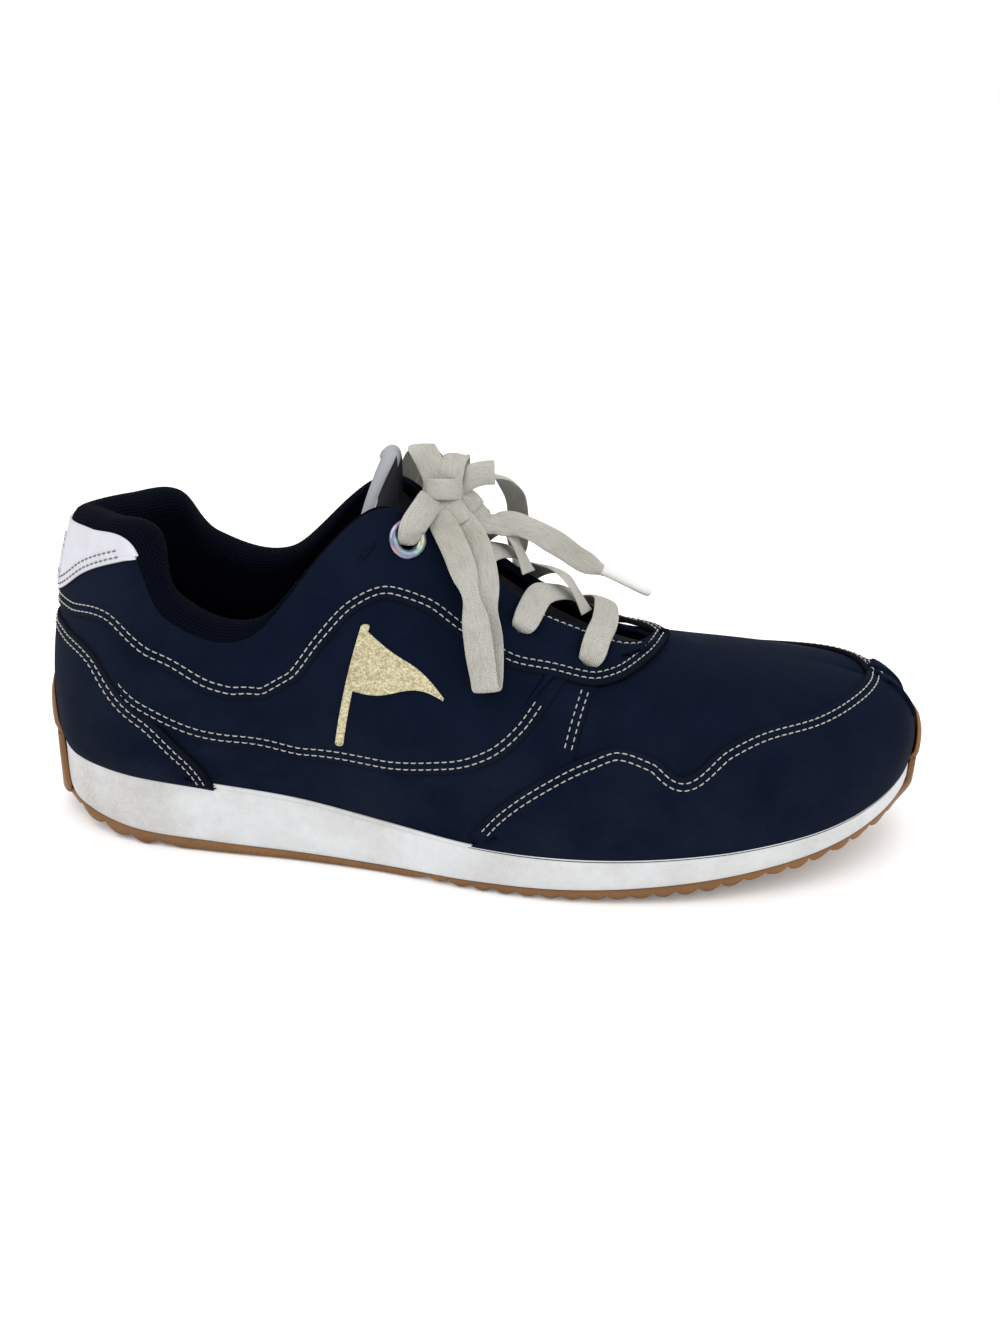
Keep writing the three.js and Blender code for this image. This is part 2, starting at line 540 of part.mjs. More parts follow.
// ---------- lace ----------
// One flat lace; each free or visible run of it is a tube of the same cross-section area.
const laceRuns = {
  lace_bar: [[173.7, -24.2, 70.5], [175.8, -17, 74.2], [178, -9.5, 76.4], [178.6, 0, 77.4], [178, 9.5, 76.2],
    [175.8, 15.8, 74], [173.5, 21.9, 70.3]],
  lace_cross_3a: [[172, 5, 76], [165, 0.5, 81.6], [157.5, -11.5, 85.2], [152.8, -23.6, 80.2]],
  lace_cross_3b: [[172, -5, 77], [165, -0.5, 87.4], [157.5, 10.5, 85.8], [152.9, 20.4, 80]],
  lace_cross_2a: [[153, 5, 88.5], [147, 0.5, 94.5], [140, -10.5, 97.8], [134.6, -21.6, 91.9]],
  lace_cross_2b: [[153, -5, 89.5], [147, -0.5, 100.4], [140, 9, 98.6], [134.8, 18.9, 91.5]],
  lace_riser_lateral: [[119.6, -24.2, 105.4], [120.6, -19, 109.4], [121.5, -13, 112.6], [122, -9, 114.4]],
  lace_riser_medial: [[119.2, 22.8, 105], [120.9, 19.5, 110], [122.2, 12, 114], [122.6, 4.8, 115]],
  loop_lateral: [[124, -9.8, 109.4], [128.5, -17, 105.3], [133, -23.5, 98.4], [136.9, -30.8, 89.4],
    [139, -36.2, 81.4], [140.3, -40.4, 75.4], [141.4, -43.4, 71], [142.2, -44.8, 67.6], [142.8, -43.6, 66.2],
    [143, -41, 67], [143, -38, 71], [142.6, -33.6, 77.5], [141.8, -29.6, 85], [140.6, -24.8, 93],
    [138, -18.6, 100.8], [134, -13, 106.2], [130.5, -9.4, 109]],
  loop_medial: [[123.5, 3.2, 120.2], [120, 8.5, 122.6], [117, 15, 121.5], [114, 22, 115], [112, 28, 106],
    [111.5, 33, 96], [113, 36.5, 87], [117.5, 38, 83.5], [121.5, 36.5, 88], [124.5, 32, 97.5],
    [127, 26, 107.5], [128.5, 19, 116], [129, 12, 120.4], [128.8, 4, 121.6]],
  tail_lateral: [[134.4, -3.4, 112], [136.4, -4.6, 108], [139.4, -5.2, 105.4], [143, -4.2, 104.8],
    [148, -2, 104.8], [153, 0.4, 102.4], [158, 3, 98.8], [163.5, 4.8, 95.2],
    [168.8, 6, 91.5], [173.5, 6.6, 89.2], [178, 7, 87]],
  tail_medial: [[134.4, 1.5, 116], [139.5, 5, 116.8], [144, 11, 115], [147, 19, 108.5], [148.5, 25, 99.5],
    [149, 29.5, 90], [149, 33, 80.5]],
};
const stepLength = 5;
for (const [name, route] of Object.entries(laceRuns)) {
  const length = new THREE.CatmullRomCurve3(route.map((p) => new THREE.Vector3(...p))).getLength();
  add(name, tube(route, Math.round(length / stepLength)), 'lace');
}
function aglet(route, clearance) {
  const end = new THREE.Vector3(...route[route.length - 1]);
  const along = end.clone().sub(new THREE.Vector3(...route[route.length - 2])).normalize();
  const geometry = new THREE.CylinderGeometry(agletRadius, agletRadius, agletLength, 12);
  geometry.applyQuaternion(new THREE.Quaternion().setFromUnitVectors(new THREE.Vector3(0, 1, 0), along));
  const centre = end.addScaledVector(along, agletLength / 2 + clearance);
  geometry.translate(centre.x, centre.y, centre.z);
  return geometry;
}
add('aglet_lateral', aglet(laceRuns.tail_lateral, 2 * partGap), 'clear');
add('aglet_medial', aglet(laceRuns.tail_medial, 2 * partGap), 'clear');
const knotCentre = [126, -3, 114.5];
const knotSize = [7, 5.2, 5.6];
const knot = new THREE.SphereGeometry(1, 14, 9);
knot.scale(...knotSize);
knot.translate(...knotCentre);
add('lace_knot', knot, 'lace');

// The origin is under the middle of the shoe without its free lace.
const fixedBox = new THREE.Box3();
const freeLace = /^(loop|tail|aglet)_/;
for (const mesh of shoe.children.filter((child) => !freeLace.test(child.name))) fixedBox.expandByObject(mesh);
const { min, max } = fixedBox;
shoe.position.set(-(min.x + max.x) / 2, -(min.y + max.y) / 2, -min.z);

export default shoe;
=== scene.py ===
# Golf shoe: cup sole with a gum outsole, stitched navy upper, padded collar and a flat lace in a bow.
# Shapes are worked out in millimetres on the shoemaker's pattern, then set in the row frame in metres.
import math

import bmesh
import bpy
import numpy as np
from mathutils import Matrix, Vector


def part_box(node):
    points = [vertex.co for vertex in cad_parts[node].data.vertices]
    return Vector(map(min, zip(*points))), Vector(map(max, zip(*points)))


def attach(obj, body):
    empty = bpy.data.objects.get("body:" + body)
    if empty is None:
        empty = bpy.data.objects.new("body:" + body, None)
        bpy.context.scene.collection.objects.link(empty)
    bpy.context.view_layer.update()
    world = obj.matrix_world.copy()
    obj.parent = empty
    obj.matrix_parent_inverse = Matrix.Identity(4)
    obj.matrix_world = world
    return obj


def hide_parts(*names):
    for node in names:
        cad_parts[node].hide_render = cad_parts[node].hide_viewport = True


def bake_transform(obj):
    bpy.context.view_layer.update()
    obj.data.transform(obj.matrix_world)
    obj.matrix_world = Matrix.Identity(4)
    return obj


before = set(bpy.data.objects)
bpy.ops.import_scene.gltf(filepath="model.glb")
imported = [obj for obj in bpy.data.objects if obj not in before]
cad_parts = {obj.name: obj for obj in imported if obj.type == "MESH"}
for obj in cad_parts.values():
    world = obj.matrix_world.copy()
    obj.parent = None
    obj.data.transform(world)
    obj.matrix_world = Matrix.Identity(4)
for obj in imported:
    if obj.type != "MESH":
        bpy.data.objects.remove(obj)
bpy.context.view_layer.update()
knotCentre = np.array([126.0, -3.0, 114.5])        # the knot's place on the pattern
boxLow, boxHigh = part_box("lace_knot")
patternShift = (np.array(boxLow) + np.array(boxHigh)) * 500 - knotCentre
print("frame loaded")


def toRow(points):
    return (np.asarray(points, float) + patternShift) / 1000


# Camera.
cameraView = {"turn": 1.3155, "height": 24.029, "away": 428.28, "lens": 35.278, "roll": 2.188,
              "target": (145.30, 0.0, 54.786)}


def makeCamera(view):
    turn, height, roll = (math.radians(view[k]) for k in ("turn", "height", "roll"))
    back = Vector((math.sin(turn) * math.cos(height), -math.cos(turn) * math.cos(height), math.sin(height)))
    right = Vector((math.cos(turn), math.sin(turn), 0))
    up = back.cross(right)
    right, up = right * math.cos(roll) + up * math.sin(roll), up * math.cos(roll) - right * math.sin(roll)
    data = bpy.data.cameras.new("camera")
    data.lens, data.sensor_width = view["lens"], 36
    data.clip_start, data.clip_end = 0.01, 50
    camera = bpy.data.objects.new("camera", data)
    bpy.context.scene.collection.objects.link(camera)
    place = Vector(toRow(view["target"])) + back * view["away"] / 1000
    camera.matrix_world = Matrix.Translation(place) @ Matrix((right, up, back)).transposed().to_4x4()
    bpy.context.scene.camera = camera


makeCamera(cameraView)

# The pattern.
# Stations run from the toe tip to the heel back; half widths lateral and medial, sole heights heel to toe.
last = {
    "length": 284.0,
    "stations": [284, 280, 268, 249, 224, 196, 168, 140, 112, 84, 56, 30, 12, 3, 0],
    "lateral": [8, -8, -24.5, -38, -47.5, -52.5, -53.5, -49.5, -42.5, -38, -35.5, -32, -23.5, -12, 0],
    "medial": [8, 25, 37.5, 46, 49.5, 49.5, 46, 40, 35, 33, 33.5, 31.5, 23.5, 12, 0],
    "midsoleTop": [29.5, 27.6, 25.7, 23, 18.8, 16.3, 16, 16.8, 19, 22.8, 30.5],
    "midsoleBottom": [10.5, 5.6, 4.1, 3.3, 2.9, 3.4, 4.5, 6.6, 10.2, 15.4, 24],
    "treadBottom": [7, 0.4, 0, 0, 0, 0, 0, 2, 6, 11.4, 20],
    "ridge": [[262, 7, 55], [257, 6, 57.5], [250, 5, 59.5], [240, 4, 61], [226, 3, 63], [208, 2, 65.5],
              [186, 1, 69.5], [162, 0, 81.5]],
    "lateralTop": [[136, -2, 100], [106, -19, 112], [72, -31, 76.5], [47, -32, 81], [37, -27, 101],
                   [21.5, -15, 101], [11, 0, 99.5]],
    "medialTop": [[136, 2, 100], [106, 19, 112], [72, 30, 80], [46, 31, 83], [34, 25, 98.5],
                  [21.5, 14, 100], [11, 0, 99.5]],
    "crown": [1, 1, 1, 1, 1, 1, 1, 1, 0.85, 0.45, 0.15, 0.05, 0, 0, 0],
    "bulge": [1.5, 2, 2, 2, 2, 2, 2, 3, 4, 5, 5.2, 5.2, 4.8, 4.2, 4],
    "power": [0.85, 0.85, 0.85, 0.87, 0.9, 0.95, 1, 1, 1, 1, 1, 1, 1, 1, 1],
    "feather": 2.0,
}
# Panel edges as (u, v): u from toe to heel, v from the sole to the top edge.
edges = {
    "guard": [(0, 0.895), (0.03, 0.885), (0.06, 0.85), (0.1, 0.79), (0.166, 0.685), (0.229, 0.59),
              (0.28, 0.535), (0.315, 0.455), (0.345, 0.335), (0.37, 0.405), (0.4, 0.44), (0.426, 0.385),
              (0.459, 0.268), (0.485, 0.15), (0.505, 0.03)],
    "eyestay": [(0.385, 1), (0.388, 0.9), (0.397, 0.8), (0.413, 0.702), (0.436, 0.642), (0.466, 0.622),
                (0.504, 0.585), (0.545, 0.59), (0.577, 0.615), (0.601, 0.618), (0.621, 0.575),
                (0.638, 0.485), (0.656, 0.402), (0.676, 0.418), (0.703, 0.535), (0.73, 0.632),
                (0.775, 0.72), (0.841, 0.665), (0.92, 0.612), (1, 0.605)],
    "side": [(0.455, 0.66), (0.46, 0.56), (0.471, 0.409), (0.491, 0.291), (0.522, 0.211), (0.575, 0.15),
             (0.638, 0.138), (0.72, 0.31), (0.777, 0.405), (0.835, 0.455), (0.9, 0.49), (1, 0.52)],
    "foxing": [(0.709, 0.0), (0.72, 0.12), (0.735, 0.233), (0.777, 0.43), (0.835, 0.5), (0.92, 0.55),
               (1, 0.575)],
    "tab": [(0.842, 1.0), (0.85, 0.96), (0.868, 0.9), (0.916, 0.81), (0.958, 0.71), (1, 0.65)],
    "throat": [(0.402, 1), (0.405, 0.95), (0.413, 0.915), (0.435, 0.89), (0.466, 0.875), (0.515, 0.85),
               (0.561, 0.865), (0.608, 0.95), (0.631, 0.995), (0.64, 1.0)],
}
laceHoles = [(0.446, 0.729), (0.504, 0.734), (0.555, 0.747)]
metalHole = (0.609, 0.84)
quarterFront = 0.431
throatFront, throatBack = (0.402, 0.64)


def smoothRow(rows, t, before=None, after=None):
    # Catmull-Rom: the cubic through four neighbouring rows, evenly spaced in t from 0 to 1.
    rows = np.asarray(rows, float)
    flat = rows.ndim == 1
    rows = rows[:, None] if flat else rows
    s = np.clip(np.asarray(t, float), 0, 1) * (len(rows) - 1)
    i = np.minimum(s.astype(int), len(rows) - 2)
    w = (s - i)[..., None]
    first = 2 * rows[0] - rows[1] if before is None else np.asarray(before, float)
    final = 2 * rows[-1] - rows[-2] if after is None else np.asarray(after, float)
    r = np.vstack([first, rows, final])
    a, b, c, d = r[i], r[i + 1], r[i + 2], r[i + 3]
    out = 0.5 * (2 * b + (c - a) * w + (2 * a - 5 * b + 4 * c - d) * w ** 2
                 + (3 * b - a - 3 * c + d) * w ** 3)
    return out[..., 0] if flat else out


def edgeAt(name, u):
    # Height of a panel edge: cubic Hermite between its points, with slopes that never overshoot.
    x, y = np.array(edges[name], float).T
    step, slope = np.diff(x), np.diff(y) / np.diff(x)
    same = slope[:-1] * slope[1:] > 0
    w1, w2 = 2 * step[1:] + step[:-1], step[1:] + 2 * step[:-1]
    before, after = np.where(same, slope[:-1], 1), np.where(same, slope[1:], 1)
    inner = np.where(same, (w1 + w2) / (w1 / before + w2 / after), 0)
    m = np.concatenate([[slope[0]], inner, [slope[-1]]])
    u = np.clip(u, x[0], x[-1])
    i = np.clip(np.searchsorted(x, u, side="right") - 1, 0, len(x) - 2)
    h, t = step[i], (u - x[i]) / step[i]
    return (y[i] * (2 * t ** 3 - 3 * t ** 2 + 1) + h * m[i] * (t ** 3 - 2 * t ** 2 + t)
            + y[i + 1] * (3 * t ** 2 - 2 * t ** 3) + h * m[i + 1] * (t ** 3 - t ** 2))


def ramp(x, start, end):
    t = np.clip((np.asarray(x, float) - start) / (end - start), 0, 1)
    return t * t * (3 - 2 * t)


def unit(v):
    return v / np.maximum(np.linalg.norm(v, axis=-1, keepdims=True), 1e-12)


def lengthsAlong(line):
    # Distance from the first point to each point of a line.
    return np.concatenate([[0], np.cumsum(np.linalg.norm(np.diff(line, axis=0), axis=1))])


def soleHeight(name, x):
    return smoothRow(last[name], np.asarray(x) / last["length"])


outlineRows = [np.stack([last["stations"], last[side]], -1).astype(float) for side in ("lateral", "medial")]
topRows = [np.array(last["ridge"] + last[side], float) for side in ("lateralTop", "medialTop")]


def outlineAt(side, u, inset=0.0):
    # The sole's edge at u on one side, moved in along its normal. Past an end it runs on along the other side.
    u = np.asarray(u, float)

    def along(t):
        own, other = outlineRows[side], outlineRows[1 - side]
        inside = smoothRow(own, t, other[1], other[-2])
        past = smoothRow(other, np.where(t < 0, -t, 2 - t), own[1], own[-2])
        return np.where(((t < 0) | (t > 1))[..., None], past, inside)

    d = along(u + 5e-4) - along(u - 5e-4)
    normal = unit(np.stack([-d[..., 1], d[..., 0]], -1)) * (1 if side == 0 else -1)
    return along(u) - normal * np.asarray(inset)[..., None], normal


def rib(side, u, v):
    # A rib of the upper: from the feather line to the top row, a quarter oval mixed with a straight line,
    # pushed out by a sine swell.
    foot, normal = outlineAt(side, u, last["feather"])
    top = smoothRow(topRows[side], u, None, topRows[1 - side][-2])
    k = np.clip(smoothRow(last["crown"], u), 0, 1)
    p, f = smoothRow(last["power"], u), v * np.pi / 2
    across = k * (1 - np.maximum(np.cos(f), 0) ** p) + (1 - k) * v
    up = k * np.sin(f) ** p + (1 - k) * v
    swell = smoothRow(last["bulge"], u) * np.sin(np.pi * v ** 0.75)
    low = soleHeight("midsoleTop", foot[..., 0]) - 1
    xy = foot + (top[..., :2] - foot) * across[..., None] + normal * swell[..., None]
    return np.concatenate([xy, (low + (top[..., 2] - low) * up)[..., None]], -1)


def skinPoint(side, u, v):
    # Past the toe or the heel u runs on along the other side.
    past = (u < 0) | (u > 1)
    uu = np.where(u < 0, -u, np.where(u > 1, 2 - u, u))
    v = np.clip(v, 0, 1)
    return np.where((side ^ past)[..., None], rib(1, uu, v), rib(0, uu, v))


def place(u, w, rise=0.0):
    # The upper's face at u and w, w running 0 to 1 up the lateral side and 1 to 2 down the medial side,
    # raised along the normal. Gives the points and the normals.
    u, w, rise = np.broadcast_arrays(np.asarray(u, float), np.asarray(w, float), np.asarray(rise, float))
    side = w > 1
    v = np.where(side, 2 - w, w)
    h, near = 2e-3, np.clip(v, 0, 0.985)
    du = skinPoint(side, u + h, near) - skinPoint(side, u - h, near)
    dv = skinPoint(side, u, near + h) - skinPoint(side, u, np.maximum(near - h, 0))
    normal = unit(np.cross(dv, du)) * np.where(side, -1, 1)[..., None]
    return skinPoint(side, u, v) + normal * rise[..., None], normal


def inset(curve, distance):
    # The curve (u, w) moved to its left across the face by a real distance, one for all or one per point.
    u, w = curve[:, 0], curve[:, 1]
    h = 1e-3
    side = w > 1
    v = np.where(side, 2 - w, w)
    sign = np.where(side, -1, 1)
    pu = (skinPoint(side, u + h, v) - skinPoint(side, u - h, v)) / (2 * h)
    hi, lo = np.minimum(v + h, 1), np.maximum(v - h, 0)
    pw = (skinPoint(side, u, hi) - skinPoint(side, u, lo)) / ((hi - lo) * sign)[:, None]
    tangent = pu * np.gradient(u)[:, None] + pw * np.gradient(w)[:, None]
    normal = place(u, w)[1]
    aim = unit(np.cross(normal, tangent))
    uu, ww, uw = (pu * pu).sum(1), (pw * pw).sum(1), (pu * pw).sum(1)
    ua, wa = (pu * aim).sum(1), (pw * aim).sum(1)
    det = np.maximum(uu * ww - uw ** 2, 1e-6)
    step = np.stack([(ww * ua - uw * wa) / det, (uu * wa - uw * ua) / det], 1)
    for _ in range(2):                              # even out the turn at tight corners
        step[1:-1] = (step[:-2] + 2 * step[1:-1] + step[2:]) / 4
    return curve + step * np.reshape(distance, (-1, 1))


# Meshes.
def gridFaces(rows, columns, closed=False):
    # Quads of a grid held row by row; a closed grid joins its last column to its first.
    i = np.arange(rows * columns).reshape(rows, columns)
    j = np.roll(i, -1, 1) if closed else i[:, 1:]
    i = i if closed else i[:, :-1]
    return np.stack([i[:-1], j[:-1], j[1:], i[1:]], -1).reshape(-1, 4)


def ringCaps(rows, size):
    # One face over the first ring of a closed grid and one over the last.
    return [tuple(range(size))[::-1], tuple(range((rows - 1) * size, rows * size))]


def stripCaps(rows, size, turned=False):
    # The same two ends closed by quads that run straight across the ring.
    faces = []
    for start, flip in ((0, turned), ((rows - 1) * size, not turned)):
        for k in range(size // 2 - 1):
            quad = (start + k, start + k + 1, start + size - 2 - k, start + size - 1 - k)
            faces.append(quad[::-1] if flip else quad)
    return faces


def joinParts(parts):
    # Several (points, faces) or (points, faces, map) parts as one.
    points, faces, maps, offset = [], [], [], 0
    for part in parts:
        points.append(part[0])
        faces += [[k + offset for k in face] for face in part[1]]
        maps += part[2:]
        offset += len(part[0])
    return np.concatenate(points), faces, np.concatenate(maps) if maps else None


def makeMesh(name, points, faces, uv=None, merge=0.0, wall=0.0):
    # points in pattern millimetres; uv one pair per vertex in millimetres; wall is a Solidify thickness.
    mesh = bpy.data.meshes.new(name)
    mesh.from_pydata(toRow(points).tolist(), [], [[int(k) for k in f] for f in faces])
    if uv is not None:
        layer = mesh.uv_layers.new(name="surface")
        index = np.empty(len(mesh.loops), int)
        mesh.loops.foreach_get("vertex_index", index)
        layer.data.foreach_set("uv", (np.asarray(uv, float)[index] / 1000).ravel())
    work = bmesh.new()
    work.from_mesh(mesh)
    if merge:
        bmesh.ops.remove_doubles(work, verts=work.verts, dist=merge / 1000)
    bmesh.ops.dissolve_degenerate(work, edges=work.edges, dist=1e-7)
    if not wall:
        bmesh.ops.recalc_face_normals(work, faces=work.faces)
    work.to_mesh(mesh)
    work.free()
    mesh.polygons.foreach_set("use_smooth", np.ones(len(mesh.polygons), bool))
    mesh.update()
    piece = bpy.data.objects.new(name + "_detail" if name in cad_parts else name, mesh)
    bpy.context.scene.collection.objects.link(piece)
    if wall:
        solid = piece.modifiers.new("wall", "SOLIDIFY")
        solid.thickness, solid.offset, solid.use_even_offset = wall / 1000, -1, False
    return piece


def ride(piece, body, material, slot, *nodes):
    # Gives the piece its finish and its place, baked where it stands for the flex body or hung on its body,
    # and hides the frame nodes that it stands for.
    piece.data.materials.append(material)
    if body == "flex":
        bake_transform(piece)
    else:
        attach(piece, body)
    if nodes:
        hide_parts(*nodes)
    return piece


def sheetGrid(u, w, rise):
    # A sheet on the form from (columns, rows) grids, with faces that look outwards.
    points, normals = place(u, w, rise)
    points, normals = points.reshape(-1, 3), normals.reshape(-1, 3)
    faces = gridFaces(*u.shape)
    a, b, c = (points[faces[:, k]] for k in (0, 1, 2))
    outwards = (np.cross(b - a, c - a) * normals[faces[:, 0]]).sum()
    return points, faces if outwards > 0 else faces[:, ::-1]


def punch(points, faces, holes):
    # Cuts round holes: faces inside go, and the points around move out to the circle.
    points = points.copy()
    keep = np.ones(len(faces), bool)
    for centre, normal, radius in holes:
        d = points - centre
        d -= (d @ normal)[:, None] * normal
        away = np.linalg.norm(d, axis=1)
        near = (away < radius * 2) & (np.linalg.norm(points - centre, axis=1) < radius * 4)
        keep &= ~np.all((away < radius * 0.98)[faces] & near[faces], axis=1)
        grown = np.where(away < radius * 0.98, radius, away + (radius * 2 - away) * 0.12)
        points += np.where(near, (grown - away) / np.maximum(away, 1e-6), 0)[:, None] * d
    return points, faces[keep]


def holesOf(side, rise, plain=2.6, metal=3.9):
    places = [(hole, plain) for hole in laceHoles] + [(metalHole, metal)]
    out = []
    for (u, v), radius in places:
        point, normal = place(u, v if side == 0 else 2 - v, rise)
        out.append((point, normal, radius))
    return out


# Finishes.
class Tree:
    # A shader node tree with short ways to add the nodes that the finishes use.
    def __init__(self, tree):
        self.nodes, self.links = tree.nodes, tree.links

    def join(self, value, socket):
        # Links a socket, or sets a number or a colour.
        if isinstance(value, tuple):
            socket.default_value = (*value, 1)
        elif isinstance(value, (int, float)):
            socket.default_value = value
        else:
            self.links.new(value, socket)

    def noise(self, vector, scale, detail=4.0, rough=0.6):
        node = self.nodes.new("ShaderNodeTexNoise")
        node.inputs["Scale"].default_value = scale
        node.inputs["Detail"].default_value = detail
        node.inputs["Roughness"].default_value = rough
        self.links.new(vector, node.inputs["Vector"])
        return node.outputs["Fac"]

    def math(self, kind, *values, clamp=False):
        node = self.nodes.new("ShaderNodeMath")
        node.operation, node.use_clamp = kind, clamp
        for k, value in enumerate(values):
            self.join(value, node.inputs[k])
        return node.outputs[0]

    def range(self, value, low, high, outLow=0.0, outHigh=1.0):
        node = self.nodes.new("ShaderNodeMapRange")
        node.inputs["From Min"].default_value, node.inputs["From Max"].default_value = low, high
        node.inputs["To Min"].default_value, node.inputs["To Max"].default_value = outLow, outHigh
        self.links.new(value, node.inputs["Value"])
        return node.outputs["Result"]

    def mix(self, factor, a, b):
        node = self.nodes.new("ShaderNodeMix")
        node.data_type = "RGBA"
        self.links.new(factor, node.inputs["Factor"])
        self.join(a, node.inputs["A"])
        self.join(b, node.inputs["B"])
        return node.outputs["Result"]

    def cells(self, vector, scale, randomness=1.0):
        node = self.nodes.new("ShaderNodeTexVoronoi")
        node.inputs["Randomness"].default_value = randomness
        self.links.new(vector, node.inputs["Vector"])
        self.join(scale, node.inputs["Scale"])
        return node

    def split(self, vector):
        node = self.nodes.new("ShaderNodeSeparateXYZ")
        self.links.new(vector, node.inputs[0])
        return node.outputs


def group(name, inputs, outputs, build):
    # A shared node group; build gets its tree and the sockets at its two ends.
    tree = bpy.data.node_groups.new(name, "ShaderNodeTree")
    for label, kind, value in inputs:
        socket = tree.interface.new_socket(name=label, in_out="INPUT", socket_type=kind)
        if value is not None:
            socket.default_value = value
    for label, kind in outputs:
        tree.interface.new_socket(name=label, in_out="OUTPUT", socket_type=kind)
    build(Tree(tree), tree.nodes.new("NodeGroupInput").outputs, tree.nodes.new("NodeGroupOutput").inputs)
    return tree


def buildGrain(tree, given, out):
    # Leather grain: small cells over a finer noise.
    cells = tree.cells(given["Vector"], given["Scale"])
    fine = tree.math("MULTIPLY", tree.noise(given["Vector"], 2600, 2), 0.7)
    tree.join(tree.math("MULTIPLY_ADD", cells.outputs["Distance"], 0.6, fine), out["Height"])


def buildDust(tree, given, out):
    # Dust and scuffs: patches of noise, stronger near the sole and behind.
    place = tree.split(given["Vector"])
    broad = tree.noise(given["Vector"], 38, 5, 0.65)
    fine = tree.noise(given["Vector"], 900, 3, 0.7)
    low = tree.range(place["Z"], 0.062, 0.02)
    rear = tree.range(place["X"], -0.02, -0.13)
    reach = tree.math("ADD", low, tree.math("MULTIPLY", rear, 0.8))
    patch = tree.range(broad, 0.38, 0.72)
    speck = tree.range(fine, 0.35, 0.7, 0.5, 1.0)
    mask = tree.math("MULTIPLY", tree.math("MULTIPLY", patch, speck), reach)
    tree.join(tree.math("MULTIPLY", mask, given["Amount"], clamp=True), out["Mask"])
    tree.join(patch, out["Patch"])


def buildWeave(tree, given, out):
    # Weave: two sets of rounded ribs crossing on the surface's own map.
    waves = []
    for turn, key in ((0.0, "Across"), (math.pi / 2, "Along")):
        mapping = tree.nodes.new("ShaderNodeMapping")
        mapping.inputs["Rotation"].default_value = (0, 0, turn + math.pi / 4)
        tree.join(given["Vector"], mapping.inputs["Vector"])
        wave = tree.nodes.new("ShaderNodeTexWave")
        wave.inputs["Distortion"].default_value = 0.6
        wave.inputs["Detail"].default_value = 1.0
        tree.join(mapping.outputs[0], wave.inputs["Vector"])
        tree.join(given[key], wave.inputs["Scale"])
        waves.append(wave.outputs["Fac"])
    tree.join(tree.math("MAXIMUM", *waves), out["Height"])


vectorIn = ("Vector", "NodeSocketVector", None)
grainGroup = group("grain", [vectorIn, ("Scale", "NodeSocketFloat", 900.0)],
                   [("Height", "NodeSocketFloat")], buildGrain)
dustGroup = group("dust", [vectorIn, ("Amount", "NodeSocketFloat", 0.3)],
                  [("Mask", "NodeSocketFloat"), ("Patch", "NodeSocketFloat")], buildDust)
weaveGroup = group("weave", [vectorIn, ("Across", "NodeSocketFloat", 300.0),
                             ("Along", "NodeSocketFloat", 300.0)],
                   [("Height", "NodeSocketFloat")], buildWeave)


class Finish(Tree):
    # A material being built: its tree, its shader and the coordinates that it reads.
    def __init__(self, name, **settings):
        self.material = bpy.data.materials.new(name)
        self.material.use_nodes = True
        super().__init__(self.material.node_tree)
        self.shader = self.nodes["Principled BSDF"].inputs
        for key, value in settings.items():
            self.join(value, self.shader[key.replace("_", " ")])
        coordinates = self.nodes.new("ShaderNodeTexCoord").outputs
        self.object, self.uv = coordinates["Object"], coordinates["UV"]

    def use(self, tree, vector, **values):
        node = self.nodes.new("ShaderNodeGroup")
        node.node_tree = tree
        self.links.new(vector, node.inputs["Vector"])
        for key, value in values.items():
            node.inputs[key].default_value = value
        return node.outputs

    def bump(self, height, strength, depth):
        node = self.nodes.new("ShaderNodeBump")
        node.inputs["Strength"].default_value, node.inputs["Distance"].default_value = strength, depth
        self.links.new(height, node.inputs["Height"])
        if self.shader["Normal"].links:
            self.links.new(self.shader["Normal"].links[0].from_socket, node.inputs["Normal"])
        self.links.new(node.outputs[0], self.shader["Normal"])

    def colour(self, value):
        self.links.new(value, self.shader["Base Color"])

    def rough(self, value, low, high, outLow, outHigh):
        self.links.new(self.range(value, low, high, outLow, outHigh), self.shader["Roughness"])

    def edge(self, near, far):
        # 1 at a panel's cut edge, 0 further in, from the map's second coordinate.
        return self.range(self.split(self.uv)["Y"], far / 1000, near / 1000)


def upperFinish(name, base, worn, dusty, hasEdge=True):
    # Brushed synthetic: two tones in soft patches, dust low down, a dark cut edge, fine grain.
    f = Finish(name, Roughness=0.74, Specular_IOR_Level=0.015)
    dust = f.use(dustGroup, f.object, Amount=0.3)
    tone = f.mix(dust["Patch"], base, worn)
    tone = f.mix(dust["Mask"], tone, dusty)
    if hasEdge:
        tone = f.mix(f.edge(0.35, 0.75), tone, (0.006, 0.006, 0.009))
    f.colour(tone)
    f.rough(dust["Patch"], 0, 1, 0.62, 0.8)
    f.bump(f.use(grainGroup, f.object, Scale=1500)["Height"], 0.25, 0.00025)
    return f.material


def meshFinish(name, base, light, scale):
    # Knitted mesh: round cells with raised threads between them.
    f = Finish(name, Roughness=0.9, Specular_IOR_Level=0.03)
    thread = f.range(f.cells(f.uv, scale, 0.12).outputs["Distance"], 0.2, 0.55)
    f.colour(f.mix(thread, base, light))
    f.bump(thread, 0.8, 0.0006)
    return f.material


